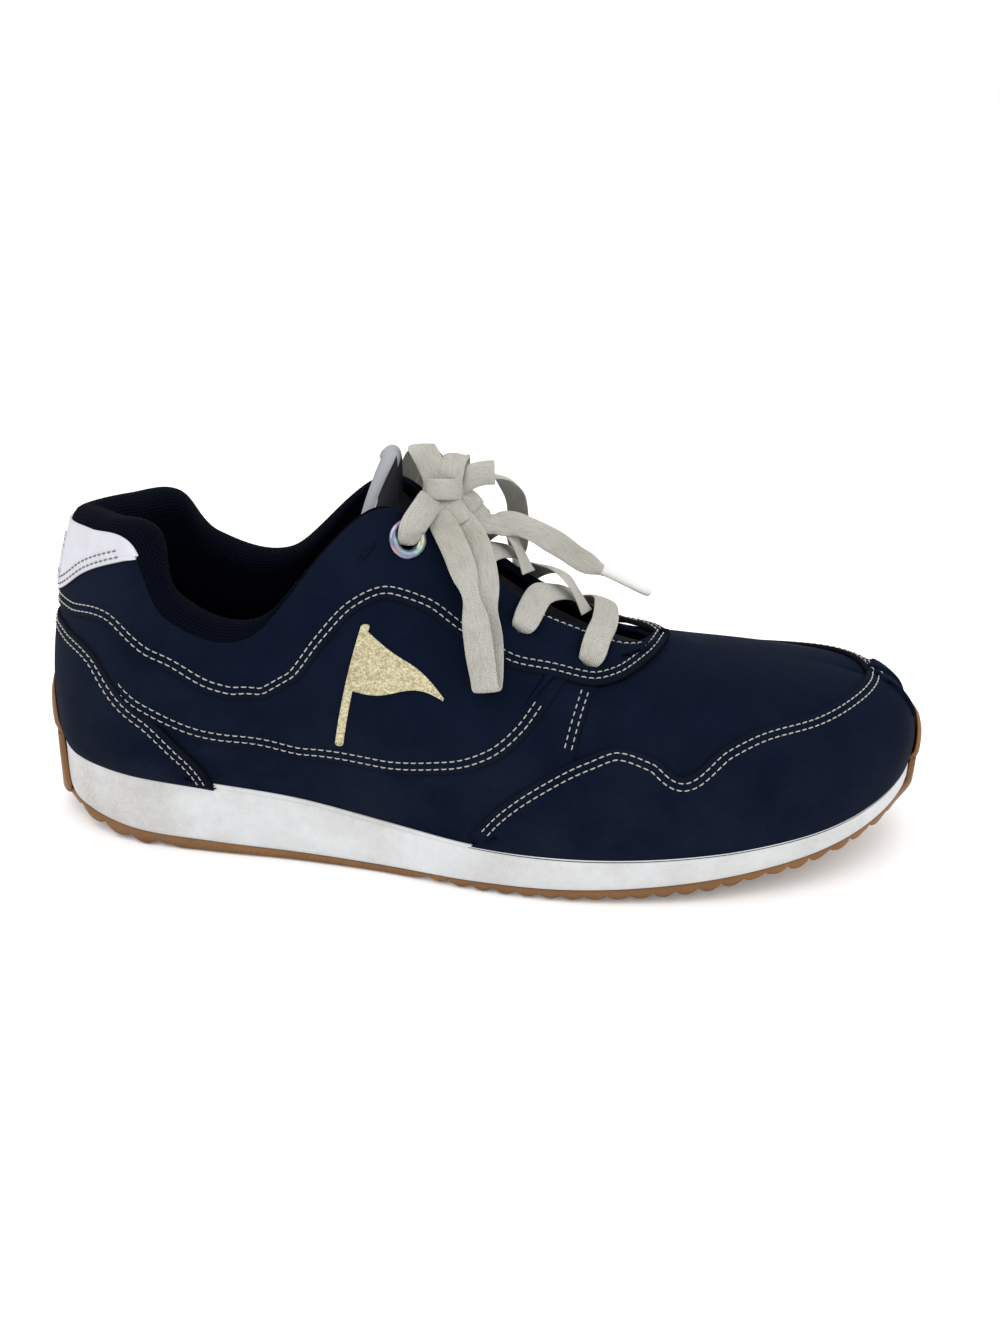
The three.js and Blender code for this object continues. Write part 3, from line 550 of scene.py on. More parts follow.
def laceFinish(name, base, shade, stain):
    # Flat cotton braid: fine ribs along and across, a few pulled threads, grey stains and fuzz; painted shade
    # darkens the hollows between the ribs.
    f = Finish(name, Roughness=0.95, Sheen_Weight=0.2, Sheen_Roughness=0.5, Specular_IOR_Level=0.2)
    weave = f.use(weaveGroup, f.uv, Across=620, Along=620)
    stretch = f.nodes.new("ShaderNodeMapping")
    stretch.inputs["Scale"].default_value = (0.16, 1.0, 1.0)
    f.join(f.uv, stretch.inputs["Vector"])
    strands = f.math("MULTIPLY", f.noise(stretch.outputs[0], 1500, 3, 0.7), 0.9)
    mixed = f.math("MULTIPLY_ADD", weave["Height"], 0.45, strands)
    # Painted shade: the weave's hollows take the shade colour and its ribs the base, with the pulled threads'
    # own random tone mixed in.
    tone = f.mix(f.range(mixed, 0.35, 0.85), shade, base)
    dirty = f.range(f.noise(f.object, 90, 4), 0.45, 0.75, 0.0, 0.45)
    f.colour(f.mix(dirty, tone, stain))
    f.bump(mixed, 0.9, 0.0005)
    f.bump(f.noise(f.object, 2600, 3), 0.35, 0.0003)
    return f.material


def threadFinish(name, base, shade):
    # Sewing thread: slanting twist lines along the stitch, with painted shade in the grooves between the
    # twists and darker worn patches.
    f = Finish(name, Roughness=0.7, Sheen_Weight=0.15)
    twist = f.nodes.new("ShaderNodeTexWave")
    twist.bands_direction = "DIAGONAL"
    twist.inputs["Scale"].default_value = 900
    f.join(f.object, twist.inputs["Vector"])
    # Painted shade: the twist's grooves take the shade colour; the worn patches below reuse that colour as
    # real wear.
    tone = f.mix(twist.outputs["Fac"], shade, base)
    worn = f.range(f.noise(f.object, 120, 3), 0.5, 0.8, 0, 0.6)
    f.colour(f.mix(worn, tone, shade))
    f.bump(twist.outputs["Fac"], 0.4, 0.0002)
    return f.material


def foamFinish(name, base, grey, scuff):
    # Moulded foam: fine pebble skin, grey patches and scuffs near the ground.
    f = Finish(name, Roughness=0.62, Specular_IOR_Level=0.35)
    dust = f.use(dustGroup, f.object, Amount=0.5)
    patches = f.range(f.noise(f.object, 60, 5, 0.7), 0.35, 0.7)
    f.colour(f.mix(dust["Mask"], f.mix(patches, base, grey), scuff))
    f.bump(f.use(grainGroup, f.object, Scale=1100)["Height"], 0.22, 0.0004)
    return f.material


def gumFinish(name, base, dark, dirt):
    # Gum rubber: warm brown, darker in patches, dirt in the tread.
    f = Finish(name, Roughness=0.55, Coat_Weight=0.08, Coat_Roughness=0.5)
    patches = f.range(f.noise(f.object, 45, 4, 0.6), 0.3, 0.7)
    speck = f.noise(f.object, 700, 4, 0.7)
    low = f.range(f.split(f.object)["Z"], 0.004, 0.0, 0.0, 0.7)
    mask = f.math("MULTIPLY", low, f.range(speck, 0.4, 0.65), clamp=True)
    f.colour(f.mix(mask, f.mix(patches, base, dark), dirt))
    f.rough(speck, 0, 1, 0.45, 0.7)
    f.bump(speck, 0.2, 0.0004)
    return f.material


def metalFinish(name):
    # Heat-tinted metal: soft rainbow patches that wander with noise, and fine scratches.
    f = Finish(name, Metallic=1.0, Roughness=0.22)
    tints = f.nodes.new("ShaderNodeValToRGB")
    stops = [(0.25, (0.42, 0.37, 0.26)), (0.4, (0.33, 0.24, 0.30)), (0.5, (0.18, 0.22, 0.34)),
             (0.6, (0.22, 0.34, 0.32)), (0.72, (0.46, 0.43, 0.30)), (0.85, (0.42, 0.31, 0.27))]
    while len(tints.color_ramp.elements) < len(stops):
        tints.color_ramp.elements.new(0.5)
    for element, (position, value) in zip(tints.color_ramp.elements, stops):
        element.position, element.color = position, (*value, 1)
    f.join(f.noise(f.object, 160, 2), tints.inputs["Fac"])
    f.colour(tints.outputs["Color"])
    f.rough(f.noise(f.object, 1500, 3), 0.3, 0.7, 0.15, 0.35)
    return f.material


def glitterFinish(name, base, bright):
    # Gold flake film: tiny cells, each with its own tone and tilt.
    f = Finish(name, Roughness=0.45, Metallic=0.35)
    flake = f.nodes.new("ShaderNodeSeparateColor")
    f.join(f.cells(f.object, 1900).outputs["Color"], flake.inputs[0])
    tone = f.mix(flake.outputs["Red"], base, bright)
    f.colour(f.mix(f.edge(0.2, 0.5), tone, (0.05, 0.045, 0.03)))
    f.rough(flake.outputs["Green"], 0, 1, 0.3, 0.7)
    f.bump(flake.outputs["Blue"], 0.5, 0.0003)
    return f.material


navy = upperFinish("navyUpper", (0.0026, 0.0052, 0.0140), (0.0042, 0.0078, 0.0190), (0.020, 0.022, 0.028))
white = upperFinish("whiteHeel", (0.60, 0.60, 0.66), (0.52, 0.52, 0.57), (0.45, 0.42, 0.36))
black = upperFinish("blackTrim", (0.012, 0.012, 0.015), (0.02, 0.02, 0.024), (0.08, 0.08, 0.08), hasEdge=False)
lining = meshFinish("navyMesh", (0.0006, 0.0009, 0.0026), (0.0026, 0.004, 0.011), 1250)
paleMesh = meshFinish("paleMesh", (0.30, 0.31, 0.33), (0.50, 0.51, 0.52), 900)
# The lace's second colour is the painted shade in the weave's hollows.
cotton = laceFinish("laceCotton", (0.49, 0.48, 0.43), (0.24, 0.233, 0.20), (0.27, 0.25, 0.195))
# Each thread's second colour is the painted shade in its twist grooves, also used for its worn patches.
cream = threadFinish("creamThread", (0.50, 0.485, 0.44), (0.27, 0.255, 0.22))
greyThread = threadFinish("greyThread", (0.16, 0.14, 0.15), (0.07, 0.06, 0.07))
midsoleFoam = foamFinish("midsoleFoam", (0.62, 0.63, 0.645), (0.52, 0.53, 0.54), (0.34, 0.31, 0.26))
gum = gumFinish("gumRubber", (0.20, 0.083, 0.012), (0.14, 0.056, 0.009), (0.05, 0.033, 0.018))
eyeletMetal = metalFinish("tintedMetal")
glitter = glitterFinish("goldFlake", (0.30, 0.26, 0.15), (0.62, 0.56, 0.36))
board = foamFinish("lastingBoard", (0.45, 0.40, 0.32), (0.38, 0.34, 0.27), (0.3, 0.26, 0.2))
softFoam = foamFinish("softFoam", (0.45, 0.45, 0.42), (0.38, 0.38, 0.35), (0.3, 0.3, 0.28))
film = foamFinish("agletFilm", (0.72, 0.72, 0.70), (0.66, 0.66, 0.63), (0.5, 0.5, 0.48))
print("finishes made")

# Sole.
sole = {"columns": 300, "edgeInset": 0.8, "lug": 2.2, "lugShare": 0.72, "bevel": 0.5, "overlap": 0.15,
        "wraps": {"toe": (0.062, 0.34), "heel": (0.09, 0.25)}, "wrapThick": 2.0, "wrapGap": 0.2}
tread = {"heelEnd": (46, 38), "heelPitch": 9.5, "foreStart": (118, 128), "foreEnd": (276, 268),
         "scallopPitch": 7.0, "nubPitch": 9.0}
insole = {"inset": 9.6, "bedDrop": 1.4, "board": (0.3, 1.8, 0.0), "liner": (2.2, 6.0, 1.2)}


def soleLoop(depth):
    # A closed loop round the sole at an inset: lateral toe to heel, then medial back. Also the centre line.
    n = sole["columns"] + 1
    t = 0.5 - 0.5 * np.cos(np.linspace(0, np.pi, n))
    t = 0.35 * t + 0.65 * np.linspace(0, 1, n)
    (a, _), (b, _) = outlineAt(0, t, depth), outlineAt(1, t, depth)
    loop = np.vstack([a, b[-2:0:-1]])
    centre = (a + b) / 2
    return loop, np.vstack([centre, centre[-2:0:-1]]), np.concatenate([t, 2 - t[-2:0:-1]])


def layeredLoops(name, rows):
    # Loops stacked up: each row is (inset, height function); the ends close along the centre line.
    rings, maps = [], []
    shares = (0.0, 0.25, 0.5, 0.75)

    def addRow(depth, heightAt, share):
        loop, centre, t = soleLoop(depth)
        xy = centre + (loop - centre) * share
        rings.append(np.concatenate([xy, heightAt(xy[:, 0], xy[:, 1])[:, None]], 1))
        maps.append(np.stack([t * last["length"], np.full(len(t), len(maps) * 2.0)], 1))

    for share in shares:
        addRow(*rows[0], share)
    for depth, heightAt in rows:
        addRow(depth, heightAt, 1.0)
    for share in shares[::-1]:
        addRow(*rows[-1], share)
    points = np.concatenate(rings)
    faces = gridFaces(len(rings), len(rings[0]), closed=True)[:, ::-1]
    return makeMesh(name, points, faces, np.concatenate(maps), merge=0.01)


def groundAt(x):
    return np.maximum(soleHeight("treadBottom", x), 0)


def midsoleRow(share, depth):
    # A row of the midsole's wall between its lower and upper edges.
    def height(x, y):
        low, high = soleHeight("midsoleBottom", x), soleHeight("midsoleTop", x)
        return low + (high - low) * share
    return depth, height


def midsolePiece():
    # The wall as (share of its height, inset): a rounded foot, a slight hollow, a scored line and a soft lip.
    wall = [(0.0, 3.0), (0.0, 0.9), (0.03, 0.35), (0.08, 0.1), (0.2, 0.0), (0.4, 0.0), (0.6, 0.12),
            (0.78, 0.2), (0.88, 0.22), (0.9, 0.45), (0.93, 0.45), (0.95, 0.12), (0.985, 0.2), (1.0, 0.55),
            (1.0, 1.3)]
    rows = [midsoleRow(share, depth) for share, depth in wall]
    inner = [(1.7, -0.6), (2.0, -1.5), (8.0, -1.5)]
    for depth, drop in inner:
        rows.append((depth, lambda x, y, drop=drop: soleHeight("midsoleTop", x) + drop))
    return layeredLoops("midsole", rows)


def treadDepth(x, y):
    # Tread: grooved lugs at the heel, a scalloped edge and round nubs forward, plain at the arch.
    atHeel, pitch = ramp(x, *tread["heelEnd"]), tread["heelPitch"]
    heel = atHeel * 0.5 * (1 - np.cos(2 * np.pi * (x - pitch) / pitch))
    fore = ramp(x, *tread["foreStart"]) * ramp(x, *tread["foreEnd"])
    scallop = np.abs(np.sin(np.pi * x / tread["scallopPitch"])) ** 0.6
    nubs = 0.5 - 0.5 * np.cos(2 * np.pi * y / tread["nubPitch"])
    behind = (1 - np.maximum(heel ** 0.4 * atHeel, 0)) * atHeel
    return sole["lug"] * behind + sole["lug"] * fore * (1 - scallop * (0.55 + 0.45 * nubs ** 0.5))


def outsolePiece():
    # A grid over the tread between the sole's edges, walls up to the midsole and a plain top.
    n, m = 620, 41
    t = np.linspace(0.008, 0.992, n)
    flare = 1 - ramp(np.minimum(t, 1 - t), 0.03, 0.1)
    depth = sole["edgeInset"] - (sole["edgeInset"] + 2.2) * flare
    (a, _), (b, _) = outlineAt(0, t, depth), outlineAt(1, t, depth)
    across = np.linspace(0, 1, m)
    bottom = a[:, None] + (b - a)[:, None] * across[None, :, None]
    x, y = bottom[..., 0], bottom[..., 1]
    top = soleHeight("midsoleBottom", x) - sole["overlap"]
    room = np.maximum(top - groundAt(x), 0.5)
    z = groundAt(x) + np.minimum(treadDepth(x, y), sole["lugShare"] * room)
    z[:, [0, -1]] += sole["bevel"]
    ring = np.concatenate([np.stack([x, y, z], -1), np.stack([x, y, top], -1)[:, ::-1]], 1)
    faces = gridFaces(n, 2 * m, closed=True).tolist() + stripCaps(n, 2 * m)
    wraps = [wrapShell(end, *size) for end, size in sole["wraps"].items()]
    points, faces, _ = joinParts([(ring.reshape(-1, 3), faces)] + wraps)
    return makeMesh("outsole", points, faces, merge=0.005)


def wrapShell(end, halfWidth, height):
    # Rubber round the toe or heel: low at its two ends, then up the midsole's wall and on up the upper.
    n, levelsUp = 81, 26
    t = np.linspace(-1, 1, n)
    u = np.abs(t) * halfWidth if end == "toe" else 1 - np.abs(t) * halfWidth
    foot, normal = (np.where((t < 0)[:, None], p, q) for p, q in zip(outlineAt(0, u), outlineAt(1, u)))
    low = soleHeight("midsoleBottom", foot[:, 0]) - 1.2
    high = soleHeight("midsoleTop", foot[:, 0])
    # Height counts 0 to 1 up the wall, then in shares of the upper's own height.
    onWall = 0.14 + 0.86 * (1 - ramp(np.abs(t), 0.66, 1.0))
    onUpper = height * np.clip(1 - (np.abs(t) / 0.8) ** 2.4, 0, 1)
    share = np.linspace(0, 1, levelsUp)
    climb = (onWall + onUpper)[:, None] * share[None]
    thin = (0.2 + 0.8 * np.sqrt(1 - np.abs(t) ** 6))[:, None] * np.sqrt(1 - 0.97 * share ** 10)[None]

    def surface(out):
        stand = sole["wrapGap"] + out * thin
        wallXY = foot[:, None] + normal[:, None] * stand[..., None]
        wallZ = low[:, None] + (high - low)[:, None] * np.minimum(climb, 0.94)
        wall = np.concatenate([wallXY, wallZ[..., None]], -1)
        v = np.maximum(climb - 1, 0)
        w = np.where((t >= 0)[:, None], 2 - v, v)
        skin = place(u[:, None], w, 1.1 + 1.4 * ramp(v, 0.0, 0.05) + out * thin)[0]
        return wall + (skin - wall) * ramp(climb, 0.94, 1.04)[..., None]

    ring = np.concatenate([surface(0.0), surface(sole["wrapThick"])[:, ::-1]], 1)
    size = ring.shape[1]
    faces = gridFaces(n, size, closed=True)
    if end == "heel":
        faces = faces[:, ::-1]
    return ring.reshape(-1, 3), faces.tolist() + stripCaps(n, size, end == "heel")


def insolePiece(name, low, high, crown):
    # A thin slab inside the shoe with a soft edge, at heights over the bed; its top cups up round the rim.
    def over(rise):
        return lambda x, y: soleHeight("midsoleTop", x) - insole["bedDrop"] + rise

    depth = insole["inset"]
    return layeredLoops(name, [(depth, over(low)), (depth - 0.3, over(low + 0.4)),
                               (depth - 0.3, over(high + crown)), (depth + 0.6, over(high + crown + 0.3)),
                               (depth + 3, over(high + crown * 0.5)), (depth + 8, over(high)),
                               (depth + 14, over(high))])


ride(midsolePiece(), "flex", midsoleFoam, "white_foam", "midsole")
ride(outsolePiece(), "flex", gum, "gum_rubber", "outsole")
ride(insolePiece("strobel_board", *insole["board"]), "flex", board, "board", "strobel_board")
ride(insolePiece("sockliner", *insole["liner"]), "flex", lining, "navy_mesh", "sockliner")
print("sole made")

# Upper.
levels = {"quarter": 0.7, "side": 1.5, "guard": 1.6, "stay": 2.4, "foxing": 2.3, "tab": 3.0}
edgeDrops = {"side": 1.1, "guard": 1.3, "stay": 1.6, "foxing": 1.6, "tab": 1.4}
walls = {"vamp": 1.5, "quarter": 1.4, "guard": 1.2, "side": 1.0, "stay": 1.1, "foxing": 1.1, "tab": 1.1,
         "lining": 0.7}
liningShape = {"foot": 0.05, "behind": 2.3, "stiffener": 2.0, "pad": 5.6, "rim": 1.7, "tuckTurn": 2.6,
               "tuck": 3.0}
collarPad = {"front": 0.685, "middle": 0.785, "half": 0.185}
panelLook = {"roll": 0.7, "edgeSteps": [0, 0.12, 0.35, 0.7, 1.1, 1.6, 2.1, 2.6, 3.1, 3.7, 4.3, 4.9, 5.6],
             "rows": [2.0, 4.1], "groove": 0.2, "grooveWidth": 0.5}


def panelPoints(low, high, rise, drop, freeLow=True, freeHigh=True, rows=14, grooves=True):
    # A panel between two edge curves (u, w). Near a free edge the rows keep real distances from it: the
    # edge rolls down over drop, and the stitch lines are pressed in.
    steps = np.array(panelLook["edgeSteps"])

    def profile(d):
        turn = np.clip(1 - d / panelLook["roll"], 0, 1)
        pressed = sum(np.exp(-((d - line) / panelLook["grooveWidth"]) ** 2) for line in panelLook["rows"])
        return rise - drop * (1 - np.sqrt(1 - turn ** 2)) - (panelLook["groove"] * pressed if grooves else 0)

    # Where the panel is narrow its rows close up, so that they never pass each other.
    width = np.linalg.norm(place(low[:, 0], low[:, 1])[0] - place(high[:, 0], high[:, 1])[0], axis=1)
    fit = np.minimum((0.46 if freeLow and freeHigh else 0.9) * width / steps[-1], 1)
    lowRows = [(inset(low, d * fit), profile(d), d) for d in steps] if freeLow else [(low, rise, 20.0)]
    highRows = [(inset(high, -d * fit), profile(d), d) for d in steps] if freeHigh else [(high, rise, 20.0)]
    a, b = lowRows[-1][0], highRows[-1][0]
    middle = [(a + (b - a) * k / rows, rise, 20.0) for k in range(1, rows)]
    every = lowRows + middle + highRows[::-1]
    grid = np.stack([row[0] for row in every], 1)
    lift = np.broadcast_to(np.array([row[1] for row in every]), grid.shape[:2])
    points, faces = sheetGrid(grid[..., 0], grid[..., 1], lift)
    shaped = points.reshape(*grid.shape[:2], 3)
    along = lengthsAlong(shaped[:, 0])
    uv = np.stack(np.broadcast_arrays(along[:, None], np.array([row[2] for row in every])[None]), -1)
    return points, faces, uv.reshape(-1, 2)


def towards(start, end, count, power=2.0):
    # Stations from start to end, closer together near the start.
    return start + (end - start) * np.linspace(0, 1, count) ** power


def topEdge(u):
    # The quarters' top: the throat's edge in front, the collar behind.
    return np.where(u < throatBack, edgeAt("throat", u), 1.0)


def bothWays(u, v):
    # A curve over both sides: lateral from the heel to the front, then medial back.
    a = np.stack([u[::-1], v[::-1]], 1)
    b = np.stack([u[1:], 2 - v[1:]], 1)
    return np.vstack([a, b])


def overHeel(half):
    # Stations from the front of one side round the heel to the front of the other, and their folded values.
    u = np.concatenate([half, 2 - half[::-1][1:]])
    return u, np.where(u > 1, 2 - u, u)


def halfSheet(side, u, vLow, vHigh, rows, rise):
    # A plain sheet on one side between two heights, with outward faces.
    share = np.linspace(0, 1, rows)
    v = vLow[:, None] + (vHigh - vLow)[:, None] * share[None]
    uu = np.broadcast_to(u[:, None], v.shape)
    w = v if side == 0 else 2 - v
    points, faces = sheetGrid(uu, w, rise(uu, v) if callable(rise) else np.full(v.shape, rise))
    uv = np.stack([uu * 300, v * 90 + 20], -1).reshape(-1, 2)
    return points, faces, uv


def vampPiece():
    u = np.concatenate([np.linspace(0, throatFront, 110), np.linspace(throatFront, 0.448, 16)[1:]])
    parts = [halfSheet(side, u, np.zeros_like(u), topEdge(u), 60, 0.0) for side in (0, 1)]
    return makeMesh("vamp", *joinParts(parts), merge=0.02, wall=walls["vamp"])


def quarterPiece(side):
    name = ("quarter_lateral", "quarter_medial")[side]
    u = np.linspace(quarterFront, 1, 170)

    def rolled(uu, v):
        turn = np.clip(1 - (uu - quarterFront) / 0.0035, 0, 1)
        return levels["quarter"] - 0.8 * (1 - np.sqrt(1 - turn ** 2))

    points, faces, uv = halfSheet(side, u, np.zeros_like(u), topEdge(u) - 0.004, 70, rolled)
    points, faces = punch(points, faces, holesOf(side, levels["quarter"]))
    uv[:, 1] = np.minimum(uv[:, 1], (uv[:, 0] / 300 - quarterFront) * last["length"])
    return makeMesh(name, points, faces, uv, wall=walls["quarter"])


def guardPiece():
    u = np.linspace(0.503, -0.503, 520)
    high = np.stack([u, edgeAt("guard", np.abs(u))], 1)
    low = np.stack([u, np.full_like(u, 0.004)], 1)
    mesh = panelPoints(low, high, levels["guard"], edgeDrops["guard"], freeLow=False, rows=22)
    return makeMesh("toe_guard", *mesh, wall=walls["guard"]), high


def sidePiece(side):
    name = ("side_panel_lateral", "side_panel_medial")[side]
    u = towards(0.456, 1.0, 260, 1.6)
    low = np.stack([u, edgeAt("side", u)], 1)
    high = np.stack([u, np.minimum(edgeAt("eyestay", u) + 0.06, 0.98)], 1)
    if side:
        low[:, 1], high[:, 1] = 2 - low[:, 1], 2 - high[:, 1]
    else:
        low, high = low[::-1], high[::-1]
    mesh = panelPoints(low, high, levels["side"], edgeDrops["side"], freeHigh=False, rows=16)
    return makeMesh(name, *mesh, wall=walls["side"]), low


def stayPiece():
    # The eyestay and collar in one, from the heel round the throat and back.
    q = np.linspace(0, 1, 260) ** 1.7
    stayFront = edges["eyestay"][0][0]
    lowU, highU = stayFront + (1 - stayFront) * q, throatFront + (1 - throatFront) * q
    low = bothWays(lowU, edgeAt("eyestay", lowU))
    high = bothWays(highU, topEdge(highU) - 0.012 * ramp(highU, throatFront, 0.43))
    points, faces, uv = panelPoints(low, high, levels["stay"], edgeDrops["stay"], rows=16)
    for side in (0, 1):
        points, faces = punch(points, faces, holesOf(side, levels["stay"]))
    return makeMesh("eyestay_collar", points, faces, uv, wall=walls["stay"]), low, high


def foxingPiece():
    u, folded = overHeel(towards(edges["foxing"][0][0] + 5e-4, 1.0, 150, 1.3))
    high = np.stack([u, edgeAt("foxing", folded)], 1)[::-1]
    low = np.stack([u, np.full_like(u, 0.0005)], 1)[::-1]
    mesh = panelPoints(low, high, levels["foxing"], edgeDrops["foxing"], freeLow=False, rows=20)
    return makeMesh("heel_foxing", *mesh, wall=walls["foxing"]), high


def tabPiece():
    u, folded = overHeel(towards(edges["tab"][0][0] + 1e-3, 1.0, 110, 1.5))
    low = np.stack([u, edgeAt("tab", folded) - 0.012], 1)[::-1]
    high = np.stack([u, np.ones_like(u)], 1)[::-1]
    mesh = panelPoints(low, high, levels["tab"], edgeDrops["tab"], freeHigh=False, rows=14)
    return makeMesh("heel_tab", *mesh, wall=walls["tab"]), low


def liningRise(u, v):
    # Depth of the lining: behind the outer, further in behind the stiffeners and the collar foam.
    stiff = np.maximum(1 - ramp(u, 0.235, 0.3), ramp(u, 0.66, 0.74))
    padded = ramp(u, 0.65, 0.76) * ramp(v, 0.42, 0.72)
    return -liningShape["behind"] - liningShape["stiffener"] * stiff - liningShape["pad"] * padded


def quarterLiningPiece():
    # The lining climbs inside to the top edge, then rolls outwards over it as a soft tube.
    u, folded = overHeel(np.linspace(0.436, 1, 190))
    top = topEdge(folded) - 0.012 * (1 - ramp(folded, 0.62, 0.66))
    v = liningShape["foot"] + (top - liningShape["foot"])[:, None] * np.linspace(0, 1, 46)[None]
    uu = np.broadcast_to(u[:, None], v.shape)
    ff = np.broadcast_to(folded[:, None], v.shape)
    points, _ = place(uu, v, liningRise(ff, v))
    rim, normal = place(u, top)
    below, _ = place(u, top - 0.02)
    up = unit(rim - below)
    size = ramp(folded, 0.61, 0.7)
    inner, outer = liningRise(folded, top), liningShape["rim"]
    turn = np.linspace(0, np.pi, 17)[1:]
    centre, radius = (inner + outer) / 2, (outer - inner) / 2
    rollOut = centre[:, None] - radius[:, None] * np.cos(turn)[None]
    rollUp = (0.85 * radius * size)[:, None] * np.sin(turn)[None]
    tucked = size[:, None] * np.maximum(turn - liningShape["tuckTurn"], 0)[None] * liningShape["tuck"]
    outward = np.minimum(rollOut, inner[:, None] + (rollOut - inner[:, None]) * size[:, None])
    roll = rim[:, None] + normal[:, None] * outward[..., None] + up[:, None] * (rollUp - tucked)[..., None]
    grid = np.concatenate([points, roll], 1)
    columns, rows = grid.shape[:2]
    flat = grid.reshape(-1, 3)
    faces = gridFaces(columns, rows)
    for side in (0, 1):
        flat, faces = punch(flat, faces, holesOf(side, -liningShape["behind"], metal=3.2))
    along, over = lengthsAlong(grid[:, 20]), lengthsAlong(grid[columns // 4])
    uv = np.stack(np.broadcast_arrays(along[:, None], over[None]), -1).reshape(-1, 2)
    return makeMesh("quarter_lining", flat, faces, uv, wall=walls["lining"])


def vampLiningPiece():
    u = np.concatenate([np.linspace(0, throatFront, 60), np.linspace(throatFront, 0.446, 10)[1:]])
    foot, top = np.full_like(u, liningShape["foot"]), topEdge(u) - 0.01 * (u > throatFront)
    parts = [halfSheet(side, u, foot, top, 40, liningRise) for side in (0, 1)]
    return makeMesh("vamp_lining", *joinParts(parts), merge=0.02, wall=walls["lining"])


def collarFoamPiece():
    # The pad between the outer and the lining: a closed roll, thin at its ends.
    u, folded = overHeel(np.linspace(collarPad["front"], 1, 70))
    turn = np.linspace(0, 2 * np.pi, 24, endpoint=False)
    v = collarPad["middle"] + collarPad["half"] * np.cos(turn)[None] * np.ones_like(u)[:, None]
    inner = liningRise(folded[:, None], v) + 0.9
    outer = np.full_like(inner, -1.2)
    thin = ramp(folded, 0.68, 0.75)[:, None] * 0.9 + 0.1
    rise = (inner + outer) / 2 + (outer - inner) / 2 * np.sin(turn)[None] * thin
    points, _ = place(np.broadcast_to(u[:, None], v.shape), v, rise)
    faces = gridFaces(len(u), len(turn), closed=True)[:, ::-1].tolist()
    faces += [cap[::-1] for cap in ringCaps(len(u), len(turn))]
    return makeMesh("collar_foam", points.reshape(-1, 3), faces)


guard, guardCurve = guardPiece()
sideLateral, sideCurve = sidePiece(0)
sideMedial, sideCurveMedial = sidePiece(1)
stay, stayLow, stayHigh = stayPiece()
foxing, foxingCurve = foxingPiece()
tab, tabCurve = tabPiece()
for piece, body, node in ((vampPiece(), "flex", "vamp"), (quarterPiece(0), "rear", "quarter_lateral"),
                          (quarterPiece(1), "rear", "quarter_medial"), (guard, "flex", "toe_guard"),
                          (sideLateral, "rear", "side_panel_lateral"),
                          (sideMedial, "rear", "side_panel_medial"), (stay, "rear", "eyestay_collar"),
                          (foxing, "rear", "heel_foxing")):
    ride(piece, body, navy, "navy_upper", node)
ride(tab, "rear", white, "heel_white", "heel_tab")
ride(quarterLiningPiece(), "rear", lining, "navy_mesh", "quarter_lining")
ride(vampLiningPiece(), "flex", lining, "navy_mesh", "vamp_lining")
collarFoam = ride(collarFoamPiece(), "rear", softFoam, "soft_foam", "collar_foam")
for hidden in ("heel_counter", "toe_puff"):
    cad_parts[hidden].data.materials.clear()
    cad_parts[hidden].data.materials.append(board)
print("upper made")

# Stitching.
stitch = {"pitch": 2.4, "length": 1.85, "radius": 0.21, "proud": 0.16, "dip": 0.42, "rings": 7, "sides": 6}


def stitchPoints(curve, distance, rise, skip):
    # Stitches along a curve: each a short bowed capsule whose ends dip into the panel.
    moved = inset(curve, distance)
    line, normal = place(moved[:, 0], moved[:, 1], rise)
    s = lengthsAlong(line)
    first, final = skip[0], s[-1] - skip[1]
    count = max(int((final - first) / stitch["pitch"]), 1)
    start = first + (np.arange(count) + 0.5) * (final - first) / count
    t = np.linspace(-0.5, 0.5, stitch["rings"])
    at = start[:, None] + t[None] * stitch["length"]
    centre = np.stack([np.interp(at, s, line[:, k]) for k in range(3)], -1)
    up = unit(np.stack([np.interp(at, s, normal[:, k]) for k in range(3)], -1))
    along = unit(np.gradient(centre, axis=1))
    across = unit(np.cross(along, up))
    bow = stitch["proud"] - stitch["dip"] * np.abs(2 * t) ** 3
    size = stitch["radius"] * np.sqrt(np.clip(1 - np.abs(2 * t) ** 5, 0.1, 1))
    centre = centre + up * bow[None, :, None]
    ring = np.linspace(0, 2 * np.pi, stitch["sides"], endpoint=False)
    points = (centre[:, :, None] + across[:, :, None] * (np.cos(ring)[:, None] * size[:, None, None])[None]
              + up[:, :, None] * (np.sin(ring)[:, None] * size[:, None, None])[None])
    one = gridFaces(stitch["rings"], stitch["sides"], closed=True).tolist()
    one = np.array(one + [(0, 5, 4, 3), (3, 2, 1, 0), (36, 37, 38, 39), (39, 40, 41, 36)])
    step = stitch["rings"] * stitch["sides"]
    faces = (one[None] + (np.arange(count) * step)[:, None, None]).reshape(-1, 4)
    return points.reshape(-1, 3), faces.tolist()


def stitching(name, body, thread, rows):
    points, faces, _ = joinParts([stitchPoints(*row) for row in rows])
    return ride(makeMesh(name, points, faces), body, thread, "white_foam")


def pair(curve, rise, sign=1.0, skip=(1.0, 1.0)):
    return [(curve, sign * d, rise, skip) for d in panelLook["rows"]]


def part(curve, low, high):
    # The piece of a curve between two u values, folded at the heel.
    u = np.where(curve[:, 0] > 1, 2 - curve[:, 0], np.abs(curve[:, 0]))
    return curve[(u >= low) & (u <= high)]


